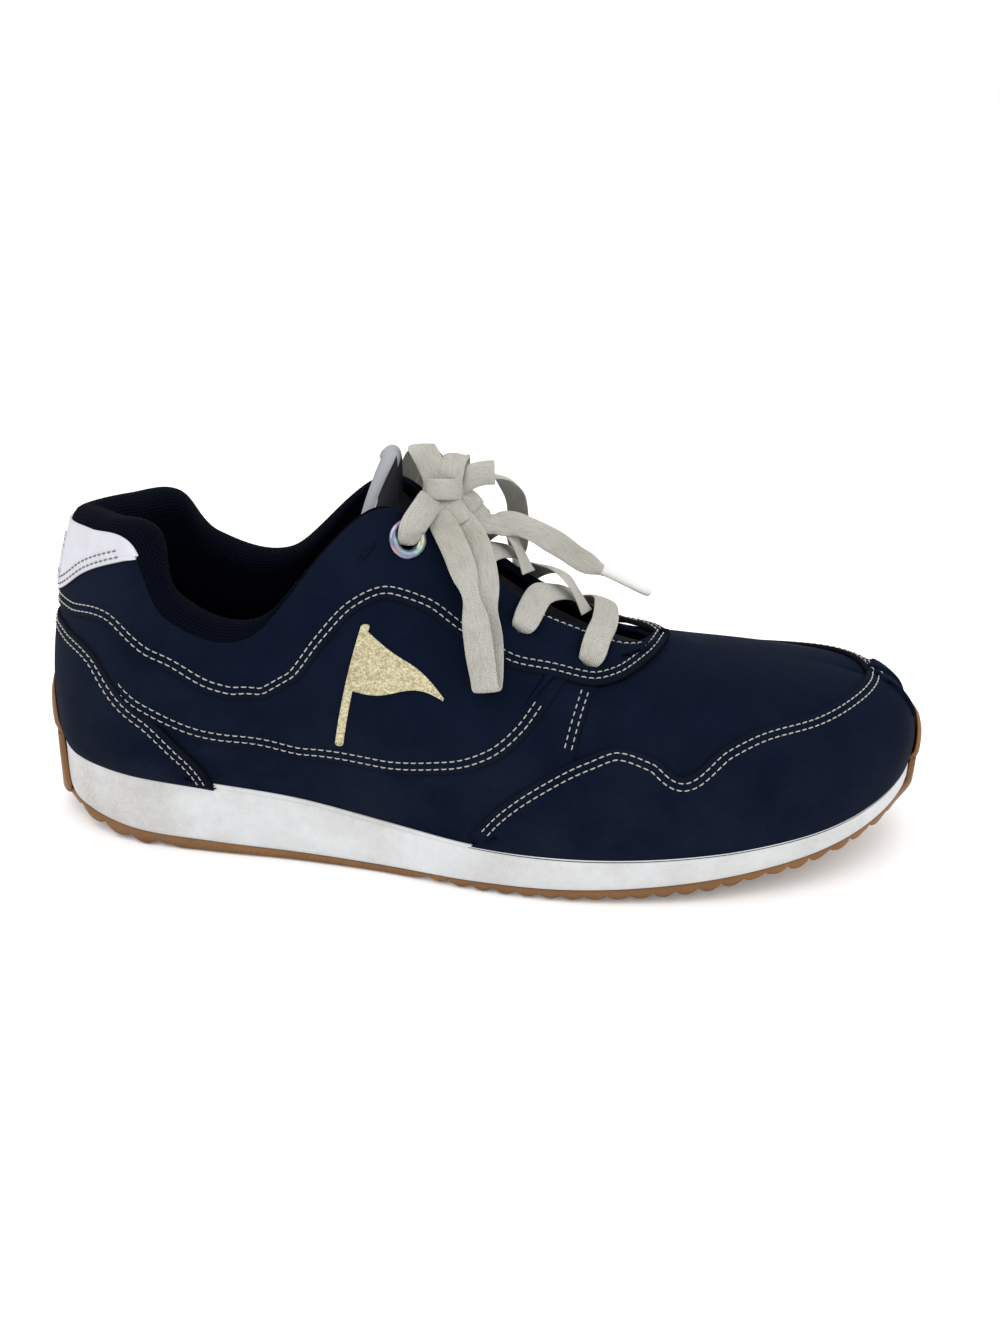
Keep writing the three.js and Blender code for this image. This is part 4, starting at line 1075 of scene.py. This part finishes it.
seamV = np.linspace(0.385, 0.632, 30)
seams = []
for side in (0, 1):
    u = np.full_like(seamV, quarterFront)
    seams.append(np.stack([u, seamV if side == 0 else 2 - seamV], 1))
stitching("stitch_guard", "flex", cream, pair(guardCurve, levels["guard"], -1.0, (4, 4)))
stitching("stitch_side", "rear", cream, pair(part(sideCurve, 0.462, 0.826), levels["side"])
          + pair(part(sideCurveMedial, 0.462, 0.826), levels["side"]))
halfway = len(stayHigh) // 2
throatRows = [(part(half, 0.41, 0.52), -1.9, levels["stay"], (1, 1))
              for half in (stayHigh[:halfway], stayHigh[halfway:])]
stitching("stitch_stay", "rear", cream, pair(stayLow, levels["stay"]) + throatRows)
stitching("stitch_foxing", "rear", cream, pair(foxingCurve, levels["foxing"], -1.0, (3, 3)))
stitching("stitch_tab", "rear", greyThread, pair(tabCurve, levels["tab"], 1.0, (6, 6)))
stitching("stitch_seam", "rear", cream, pair(seams[0], levels["quarter"])
          + pair(seams[1], levels["quarter"], -1.0))
print("stitching made")

# Tongue.
tongue = {"front": 0.398, "back": 0.621, "foot": 0.64, "depth": 4.2, "thick": 5.4, "dome": 2.0, "droop": 3.5,
          "lift": [(0.0, 0.0, 1.0), (0.0, 6.0, 0.94), (0.0, 12.0, 0.84), (-0.4, 15.5, 0.62)],
          "liftRows": 16, "columns": 41}


def tongueRows():
    # Sections that follow the upper's inside and dome across the throat, then rise past the facings by
    # (forward, up, share of the width).
    u = np.linspace(tongue["front"], tongue["back"], 46)
    high = edgeAt("throat", u)
    sink = 1.8 * ramp(u, 0.52, 0.58)
    v = tongue["foot"] + (high - tongue["foot"])[:, None] * np.array([0, 0.5, 1.0])[None]
    uu = np.broadcast_to(u[:, None], v.shape)
    left, leftNormal = place(uu, v)
    right, rightNormal = (grid[:, ::-1] for grid in place(uu, 2 - v))
    t = np.array([0.25, 0.5, 0.75])[None, :, None]
    normal = unit(leftNormal[:, 2:3] * (1 - t) + rightNormal[:, 0:1] * t)
    bridge = left[:, 2:3] * (1 - t) + right[:, 0:1] * t + normal * 4 * t * (1 - t) * tongue["dome"]
    points = np.concatenate([left, bridge, right], 1)
    normals = np.concatenate([leftNormal, normal, rightNormal], 1)
    fine, more = np.linspace(0, 1, tongue["columns"]), tongue["liftRows"]
    dense = np.stack([smoothRow(row, fine) for row in points])
    denseNormal = unit(np.stack([smoothRow(row, fine) for row in normals]))
    sinks = np.concatenate([sink, np.full(more, sink[-1])])
    forward, up, share = smoothRow(tongue["lift"], np.linspace(0, 1, more + 1)[1:]).T[:, :, None]
    droop = tongue["droop"] * (up / tongue["lift"][-1][1]) ** 2 * np.abs(fine * 2 - 1) ** 2.5
    top = dense[-1][None]
    lifted = np.stack([top[..., 0] + forward, top[..., 1] * share, top[..., 2] + up - droop], -1)
    normals = np.concatenate([denseNormal, np.repeat(denseNormal[-1:], more, 0)])
    return np.concatenate([dense, lifted]), normals, sinks


tongueCentre, tongueNormal, tongueSink = tongueRows()


def tongueLayer(name, outer, inner, crown=0.0, margin=0):
    # A closed layer of the tongue between two depths, puffed by crown towards its middle.
    p, n, s = tongueCentre, tongueNormal, tongueSink
    if margin:
        p, n, s = p[:-margin, margin:-margin], n[:-margin, margin:-margin], s[:-margin]
    rows, columns = p.shape[:2]
    a = np.linspace(-1, 1, columns)[None] ** 2
    b = np.linspace(-1, 1, rows)[:, None] ** 8
    puff = crown * (1 - a) * (1 - b)
    outerFace = p - n * (tongue["depth"] + s[:, None] + outer - puff)[..., None]
    innerFace = p - n * (tongue["depth"] + s[:, None] + inner + puff * 0.4)[..., None]
    ring = np.concatenate([outerFace, innerFace[:, ::-1]], 1)
    size = ring.shape[1]
    faces = gridFaces(rows, size, closed=True).tolist() + stripCaps(rows, size)
    across = np.concatenate([np.linspace(0, 45, columns), np.linspace(45, 0, columns)])
    uv = np.stack(np.broadcast_arrays(np.linspace(0, 75, rows)[:, None], across[None]), -1).reshape(-1, 2)
    return makeMesh(name, ring.reshape(-1, 3), faces, uv)


def tubeAlong(path, radius, sides=10):
    # A round tube along a path with closed ends, its ring turned by the path's own frame.
    path = np.asarray(path, float)
    tangent = unit(np.gradient(path, axis=0))
    side = unit(np.cross(tangent, np.array([0.02, 0.03, 1.0])))
    up = np.cross(side, tangent)
    ring = np.linspace(0, 2 * np.pi, sides, endpoint=False)
    radius = np.broadcast_to(radius, len(path))[:, None, None]
    c, s = np.cos(ring)[None, :, None], np.sin(ring)[None, :, None]
    points = path[:, None] + radius * (side[:, None] * c + up[:, None] * s)
    faces = gridFaces(len(path), sides, closed=True).tolist() + ringCaps(len(path), sides)
    return points.reshape(-1, 3), faces


def tongueBinding():
    # The pale bound edge: a tube up one side, over the top and down the other.
    depth = tongue["depth"] + tongueSink + tongue["thick"] / 2
    centre = tongueCentre - tongueNormal * depth[:, None, None]
    first = 26                                      # the binding starts under the facings
    path = np.concatenate([centre[first:, 0], centre[-1, 1:-1], centre[first:, -1][::-1]])
    for _ in range(3):
        path[1:-1] = (path[:-2] + 2 * path[1:-1] + path[2:]) / 4
    return makeMesh("tongue_binding", *tubeAlong(path, tongue["thick"] / 2 + 0.1, 14))


ride(tongueLayer("tongue_shell", 0.0, 0.9, 0.5), "tongue", black, "black_trim", "tongue_shell")
tongueFoam = ride(tongueLayer("tongue_foam", 1.3, 4.1, 0.4, 1), "tongue", softFoam, "soft_foam", "tongue_foam")
ride(tongueLayer("tongue_lining", 4.5, 5.4, 0.3), "tongue", lining, "navy_mesh", "tongue_lining")
ride(tongueBinding(), "tongue", paleMesh, "white_foam")
print("tongue made")

# Eyelets and emblem.
eyeletShape = {"bore": 3.1, "rim": 6.2, "crown": 1.15, "segments": 64}


def eyeletPiece(side):
    # A lathe of the ring's profile about the hole's normal: a rolled rim over a thin neck.
    u, v = metalHole
    centre, normal = place(u, v if side == 0 else 2 - v)
    bore, rim, crown = eyeletShape["bore"], eyeletShape["rim"], eyeletShape["crown"]
    seat = levels["stay"] + 0.05
    turn = np.linspace(0, np.pi, 14)
    middle, half = (bore + rim) / 2, (rim - bore) / 2
    top = [(middle + half * math.cos(a), seat + crown * math.sin(a)) for a in turn]
    neck = [(bore, seat - 1.5), (bore, -3.2), (bore + 0.6, -3.8), (bore + 0.9, -3.4),
            (bore + 0.55, -2.6), (bore + 0.5, seat - 0.2)]
    profile = np.array(top + neck)
    ahead = unit(np.cross(normal, np.array([0.0, 0.0, 1.0])))
    other = np.cross(normal, ahead)
    ring = np.linspace(0, 2 * np.pi, eyeletShape["segments"], endpoint=False)
    circle = np.cos(ring)[:, None] * ahead + np.sin(ring)[:, None] * other
    points = centre + profile[:, 0][:, None, None] * circle[None] + profile[:, 1][:, None, None] * normal
    rows, columns = points.shape[:2]
    index = np.arange(rows * columns).reshape(rows, columns)
    nextRow, nextColumn = np.roll(index, -1, 0), np.roll(index, -1, 1)
    faces = np.stack([index, nextColumn, np.roll(nextRow, -1, 1), nextRow], -1).reshape(-1, 4)
    name = ("eyelet_lateral", "eyelet_medial")[side]
    return makeMesh(name, points.reshape(-1, 3), faces)


for side in (0, 1):
    ride(eyeletPiece(side), "rear", eyeletMetal, "eyelet_metal", ("eyelet_lateral", "eyelet_medial")[side])

pennant = {"pole": (0.608, 0.6148, 0.20, 0.53), "tip": (0.537, 0.405), "flag": (0.35, 0.51), "thick": 0.55,
           "wave": 0.012}


def pennantPiece():
    # A plain pennant on its pole: a thin film whose edge curves are given in (u, v).
    poleFront, poleBack, foot, head = pennant["pole"]
    tipU, tipV = pennant["tip"]
    low, high = pennant["flag"]
    u = np.linspace(tipU, poleFront + 0.002, 50)
    t = (u - tipU) / (poleFront - tipU)
    wave = pennant["wave"] * np.sin(np.pi * 2 * t)
    flagLow = tipV + (low - tipV) * t + wave - 0.004
    flagHigh = tipV + (high - tipV) * t + wave * 0.6 + 0.004
    pole = np.linspace(poleFront, poleBack, 8)
    across = (pole - (poleFront + poleBack) / 2) / ((poleBack - poleFront) / 2)
    tip = 0.006 * np.sqrt(np.clip(1 - across ** 2, 0, 1))
    parts = []
    for uu, vLow, vHigh in ((u, flagLow, flagHigh), (pole, foot - tip, head + tip)):
        points, faces, uv = halfSheet(0, uu, vLow, vHigh, 24, levels["side"] + pennant["thick"])
        uv[:, 1] = 5.0
        parts.append((points, faces, uv))
    return makeMesh("emblem_lateral", *joinParts(parts), wall=pennant["thick"] + 0.2)


ride(pennantPiece(), "rear", glitter, "emblem_glitter", "emblem_lateral")
print("eyelets and emblem made")

# Lace.
lace = {"width": 8.5, "thick": 1.4, "pinchReach": 4.5, "turnReach": 0.045, "holeNear": 7.0, "holeDepth": 3.0,
        "aglet": [(-1.5, 0.6), (-1.4, 1.75), (0, 1.7), (4, 1.62), (12, 1.6), (15.5, 1.5), (16.6, 1.1),
                  (17.1, 0.3)]}                         # aglet as (distance along, radius)
# Each run: its route on the pattern, and the way its flat side faces at the start, the middle and the end.
runs = {
    "lace_bar": ([[173.7, -24.2, 70.5], [175.8, -17, 74.2], [178, -9.5, 76.4], [178.6, 0, 77.4],
                  [178, 9.5, 76.2], [175.8, 15.8, 74], [173.5, 21.9, 70.3]],
                 [(0.3, -0.5, 0.8), (0.35, 0, 0.93), (0.25, 0.55, 0.8)]),
    "lace_cross_3a": ([[172, 5, 76], [165, 0.5, 81.6], [157.5, -11.5, 85.2], [152.8, -23.6, 80.2]],
                      [(0.3, 0, 0.95), (0.3, -0.3, 0.9), (0.3, -0.6, 0.7)]),
    "lace_cross_3b": ([[172, -5, 77], [165, -0.5, 87.4], [157.5, 10.5, 85.8], [152.9, 20.4, 80]],
                      [(0.3, 0, 0.95), (0.3, 0.3, 0.9), (0.3, 0.6, 0.7)]),
    "lace_cross_2a": ([[153, 5, 88.5], [147, 0.5, 94.5], [140, -10.5, 97.8], [134.6, -21.6, 91.9]],
                      [(0.3, 0, 0.95), (0.3, -0.3, 0.9), (0.3, -0.6, 0.7)]),
    "lace_cross_2b": ([[153, -5, 89.5], [147, -0.5, 100.4], [140, 9, 98.6], [134.8, 18.9, 91.5]],
                      [(0.3, 0, 0.95), (0.3, 0.3, 0.9), (0.3, 0.6, 0.7)]),
    "lace_riser_lateral": ([[116.6, -20.2, 103.4], [118.5, -21.5, 108.5], [120.8, -17, 111.5],
                            [123, -9, 113.4]],
                           [(0.5, -0.8, 0.3), (0.4, -0.8, 0.4), (0.3, -0.8, 0.5)]),
    "lace_riser_medial": ([[116.6, 19.2, 103.2], [119, 20.5, 109], [121.6, 13, 113.5], [123.6, 4.8, 114.4]],
                          [(0.5, 0.8, 0.3), (0.4, 0.7, 0.6), (0.3, 0.3, 0.9)]),
}
freeRuns = {
    "loop_lateral": ([[124, -9.8, 109.4], [128.5, -17, 105.3], [133, -23.5, 98.4], [136.9, -30.8, 89.4],
                      [139, -36.2, 81.4], [140.3, -40.4, 75.4], [141.4, -43.4, 71], [142.2, -44.8, 67.6],
                      [142.8, -43.6, 66.2], [143, -41, 67], [143, -38, 71], [142.6, -33.6, 77.5],
                      [141.8, -29.6, 85], [140.6, -24.8, 93], [138, -18.6, 100.8], [134, -13, 106.2],
                      [130.5, -9.4, 109]],
                     [(0.1, -0.8, 0.5), (0, -0.9, 0.4), (0.25, -0.9, 0.3), (0.1, -1, 0.1), (0, -0.7, -0.7),
                      (0, 0.9, -0.5), (-0.2, 0.9, -0.4), (0, 0.9, -0.5), (0.1, 0.7, -0.6)], "object", ()),
    "loop_medial": ([[123.5, 3.2, 120.2], [120, 8.5, 122.6], [117, 15, 121.5], [114, 22, 115], [112, 28, 106],
                     [111.5, 33, 96], [113, 36.5, 87], [117.5, 38, 83.5], [121.5, 36.5, 88], [124.5, 32, 97.5],
                     [127, 26, 107.5], [128.5, 19, 116], [129, 12, 120.4], [128.8, 4, 121.6]],
                    [(0, 0, 1), (-0.1, 0.6, 0.7), (-0.2, 0.9, 0.3), (0, 0.9, -0.5), (0.3, -0.8, 0.3),
                     (0.3, -0.8, -0.4), (0.2, -0.3, -0.9)], "object", ()),
    "tail_lateral": ([[134.4, -3.4, 112], [136.4, -4.6, 108], [139.4, -5.2, 105.4], [143, -4.2, 104.8],
                      [148, -2, 104.8], [153, 0.4, 102.4], [158, 3, 98.8], [163.5, 4.8, 95.2],
                      [168.8, 6, 91.5], [173.5, 6.6, 89.2], [178, 7, 87]],
                     [(0.5, -0.8, 0.3), (0.1, -0.7, 0.7), (0.3, -0.75, 0.6), (0.4, -0.7, 0.6)],
                     "fitting", ("aglet_lateral",)),
    "tail_medial": ([[134.4, 1.5, 116], [139.5, 5, 116.8], [144, 11, 115], [147, 19, 108.5], [148.5, 25, 99.5],
                     [149, 29.5, 90], [149, 33, 80.5]],
                    [(0.1, 0.1, 1), (0.4, 0.7, 0.6), (0.5, 0.8, 0.2)], "fitting", ("aglet_medial",)),
}


def ribbon(route, facing, pinch=(0.0, 0.0), wrinkle=0.0, width=None, count=90, waists=()):
    # A flat braid along a route: a rounded flat section, narrowed by pinch where it goes into a hole,
    # with a slow wrinkle across, and a waist (share, amount) where it turns over. The map runs along and
    # across it in millimetres.
    t = np.linspace(0, 1, count)
    path = smoothRow(route, t)
    s = lengthsAlong(path)
    even = np.linspace(0, s[-1], count)
    path = np.stack([np.interp(even, s, path[:, k]) for k in range(3)], 1)
    for _ in range(2):
        path[1:-1] = (path[:-2] + 2 * path[1:-1] + path[2:]) / 4
    tangent = unit(np.gradient(path, axis=0))
    out = unit(smoothRow(facing, t))
    side = unit(np.cross(tangent, out))
    for _ in range(6):
        side[1:-1] = unit(side[:-2] + side[1:-1] + side[2:])
    side = unit(side - (side * tangent).sum(1, keepdims=True) * tangent)
    out = np.cross(side, tangent)
    atStart, atEnd = (np.exp(-(d / lace["pinchReach"]) ** 2) for d in (even, s[-1] - even))
    squeeze = 1 - pinch[0] * atStart - pinch[1] * atEnd
    for share, amount in waists:
        squeeze = squeeze - amount * np.exp(-((even / s[-1] - share) / lace["turnReach"]) ** 2)
    full = width or lace["width"]
    half = full / 2 * squeeze
    depth = lace["thick"] / 2 * (0.85 + 1.1 * (1 - squeeze))
    a = np.linspace(0, 2 * np.pi, 24, endpoint=False)
    x = np.sign(np.cos(a)) * np.abs(np.cos(a)) ** 0.75
    y = np.sign(np.sin(a)) * np.abs(np.sin(a)) ** 0.8 * (0.8 + 0.2 * x ** 2)
    cupped, tilted = np.sin(even / 5.3 + 1.3)[:, None] * x[None] ** 2, np.sin(even / 3.1)[:, None] * x[None]
    bend = wrinkle * (cupped + 0.6 * tilted)
    points = (path[:, None] + side[:, None] * (half[:, None] * x[None])[..., None]
              + out[:, None] * (depth[:, None] * y[None] + bend + 0.35 * (1 - x[None] ** 2))[..., None])
    faces = gridFaces(count, len(a), closed=True).tolist() + ringCaps(count, len(a))
    uv = np.stack(np.broadcast_arrays(even[:, None], (half[:, None] * x[None]) + full), -1).reshape(-1, 2)
    return points.reshape(-1, 3), faces, uv, path, s[-1]


def throughHoles(route, facing):
    # A run that ends at a hole turns down through it, with its flat side turning the same way.
    holes = [(centre, normal) for side in (0, 1) for centre, normal, _ in holesOf(side, levels["stay"])]
    route = [np.array(point, float) for point in route]
    facing = list(smoothRow(facing, np.linspace(0, 1, len(route))))
    for tip, following in ((0, 1), (-1, -2)):
        away = unit(route[tip] - route[following])
        centre, normal = min(holes, key=lambda hole: np.linalg.norm(hole[0] - route[tip]))
        if np.linalg.norm(centre - route[tip]) < lace["holeNear"]:
            end = 0 if tip == 0 else len(route)
            route.insert(end, centre - normal * lace["holeDepth"])
            facing.insert(end, away)
    return route, facing


for name, (route, facing) in runs.items():
    pinch = {"lace_bar": (0.4, 0.4)}.get(name, (0.0, 0.5) if "cross" in name else (0.5, 0.0))
    points, faces, uv, _, _ = ribbon(*throughHoles(route, facing), pinch, 0.3)
    ride(makeMesh(name, points, faces, uv), "rear", cotton, "lace_cotton", name)

# Where the free runs turn over or fold: the share along the run, and how much narrower it gets.
turns = {"loop_lateral": [(0.26, 0.38), (0.72, 0.3)], "loop_medial": [(0.52, 0.3)],
         "tail_lateral": [(0.2, 0.25)]}


def agletPiece(name, route):
    # A thin tube of film crimped on the end of the lace, with a rounded tip.
    end, before = np.array(route[-1], float), np.array(route[-2], float)
    along = unit(end - before)
    distance, radius = np.array(lace["aglet"]).T
    return makeMesh(name, *tubeAlong(end + along * distance[:, None], radius, 16))


for name, (route, facing, farEnd, fittings) in freeRuns.items():
    tailPinch = (0.25, 0.62) if farEnd == "fitting" else (0.2, 0.2)
    points, faces, uv, path, length = ribbon(route, facing, tailPinch, 0.45, count=140,
                                             waists=turns.get(name, ()))
    piece = ride(makeMesh(name, points, faces, uv), "rear", cotton, "lace_cotton", name)
    withPieces = [ride(agletPiece(fitting, route), "rear", film, "aglet_film", fitting)
                  for fitting in fittings]


def knotPiece():
    # The bow's knot: a band wrapped round the crossing, folds standing out above and to the front, and a
    # short strip that catches each free run. Strips are (points, facings, width, wrinkle) from the knot.
    a = np.linspace(0, 2 * np.pi, 13)
    band = [(-5.6 * math.cos(k), -1.0 - 5.6 * math.sin(k), 0.8 + 1.4 * math.sin(k)) for k in a]
    strips = [
        (band, [(-math.cos(k), -math.sin(k), 0.12) for k in a], 6.4, 0.25),
        ([(-1.6, -3.6, -8), (-1.2, -4.0, -3), (-1.4, -3.4, 2), (-3.2, -2.4, 7), (-5.6, -1.4, 11.5),
          (-7.2, 0.6, 13.2), (-6.6, 4.2, 11.8), (-3.6, 5.6, 6.5), (-1, 4, 1)],
         [(0, -1, 0), (0, -1, 0.1), (0.1, -1, 0.1), (0.1, -0.9, 0.3), (0, 0.2, 1), (0.1, 1, 0.2),
          (0, 1, -0.3)], 8.2, 0.35),
        ([(2.0, -3.2, -7), (1.8, -3.8, -2), (2.0, -3.4, 3), (2.6, -2.2, 8), (3.4, 0.2, 10.6),
          (4.0, 3.8, 9.4), (3.0, 5.0, 4)],
         [(0, -1, 0), (0, -1, 0.1), (-0.1, -1, 0.2), (0, -0.3, 1), (0, 1, 0.3)], 7.6, 0.35),
        ([(1.5, 0.4, -0.5), (5, -0.6, 2.6), (9, -1.6, 5.4), (12.5, -2.0, 6.6), (15.6, -2.0, 6.9)],
         [(-0.1, -1, 0.3), (-0.1, -1, 0.25), (0.1, -1, 0.3)], 7.4, 0.35),
    ]
    caught = [
        ([(0.6, -10.6, -6.9), (-1.4, -7.6, -4.7), (-1, -5, -2.5), (0, -2.6, -0.9)], (0.1, -0.85, 0.5)),
        ([(7, -9, -7.3), (4.6, -6.8, -5.1), (2.4, -4.8, -2.5), (0.6, -2.6, -0.7)], (0.1, -0.75, 0.6)),
        ([(10.2, -1.6, -5.1), (8, -1.4, -2.7), (4.5, -1.6, -1.1), (1, -1.4, -0.5)], (0.4, -0.8, 0.4)),
        ([(12, 7, 2.1), (8, 4.4, 1.7), (4, 2.6, 1.1), (1, 1.8, 0.5)], (0.1, 0.1, 1)),
        ([(-5, 9.8, 7.7), (-2.4, 6.2, 5.9), (-1, 3, 3.5), (0, 0.6, 1.5)], (0, 0, 1)),
        ([(3, 12, 6.7), (2.8, 7, 6.9), (1.8, 3.4, 4.1), (0.8, 0.6, 1.5)], (0.2, 0.3, 0.9)),
    ]
    strips += [(points, [facing, facing], 7.2, 0.2) for points, facing in caught]
    parts = [ribbon(knotCentre + points, facing, wrinkle=wrinkle, width=width, count=60)[:3]
             for points, facing, width, wrinkle in strips]
    return makeMesh("lace_knot", *joinParts(parts))


ride(knotPiece(), "rear", cotton, "lace_cotton", "lace_knot")
print("lace made")

# Floor and light.
studio = {"floor": (0.96, 0.96, 0.96), "reach": 60.0, "below": 0.0002, "floorGlow": 0.07,
          "world": (1.0, 1.0, 1.0), "worldStrength": 1.0, "aim": (0, 0, 0.05),
          "lamps": {"key": ((-0.35, -0.55, 0.9), 0.9, 4.5), "fill": ((0.7, -0.4, 0.6), 0.8, 1.6),
                    "back": ((0.1, 0.8, 0.8), 0.9, 2.5)}}       # place, size, watts


def makeStudio(values):
    floorMesh = bpy.data.meshes.new("floor")
    reach, z = values["reach"], -values["below"]
    corners = [(-reach, -reach, z), (reach, -reach, z), (reach, reach, z), (-reach, reach, z)]
    floorMesh.from_pydata(corners, [], [(0, 1, 2, 3)])
    floor = bpy.data.objects.new("floor", floorMesh)
    bpy.context.scene.collection.objects.link(floor)
    paper = Finish("floorPaper", Roughness=0.9, Base_Color=values["floor"], Emission_Color=values["world"],
                   Emission_Strength=values["floorGlow"])
    floorMesh.materials.append(paper.material)
    world = bpy.data.worlds.new("studio")
    bpy.context.scene.world = world
    world.use_nodes = True
    sky = world.node_tree.nodes["Background"]
    sky.inputs["Color"].default_value = (*values["world"], 1)
    sky.inputs["Strength"].default_value = values["worldStrength"]
    for name, (where, size, power) in values["lamps"].items():
        data = bpy.data.lights.new(name, "AREA")
        data.size, data.energy = size, power
        light = bpy.data.objects.new(name, data)
        bpy.context.scene.collection.objects.link(light)
        light.location = where
        light.rotation_mode = "QUATERNION"
        light.rotation_quaternion = (Vector(values["aim"]) - Vector(where)).to_track_quat("-Z", "Y")


bpy.context.scene.view_settings.view_transform = "Standard"
makeStudio(studio)
print("studio made")
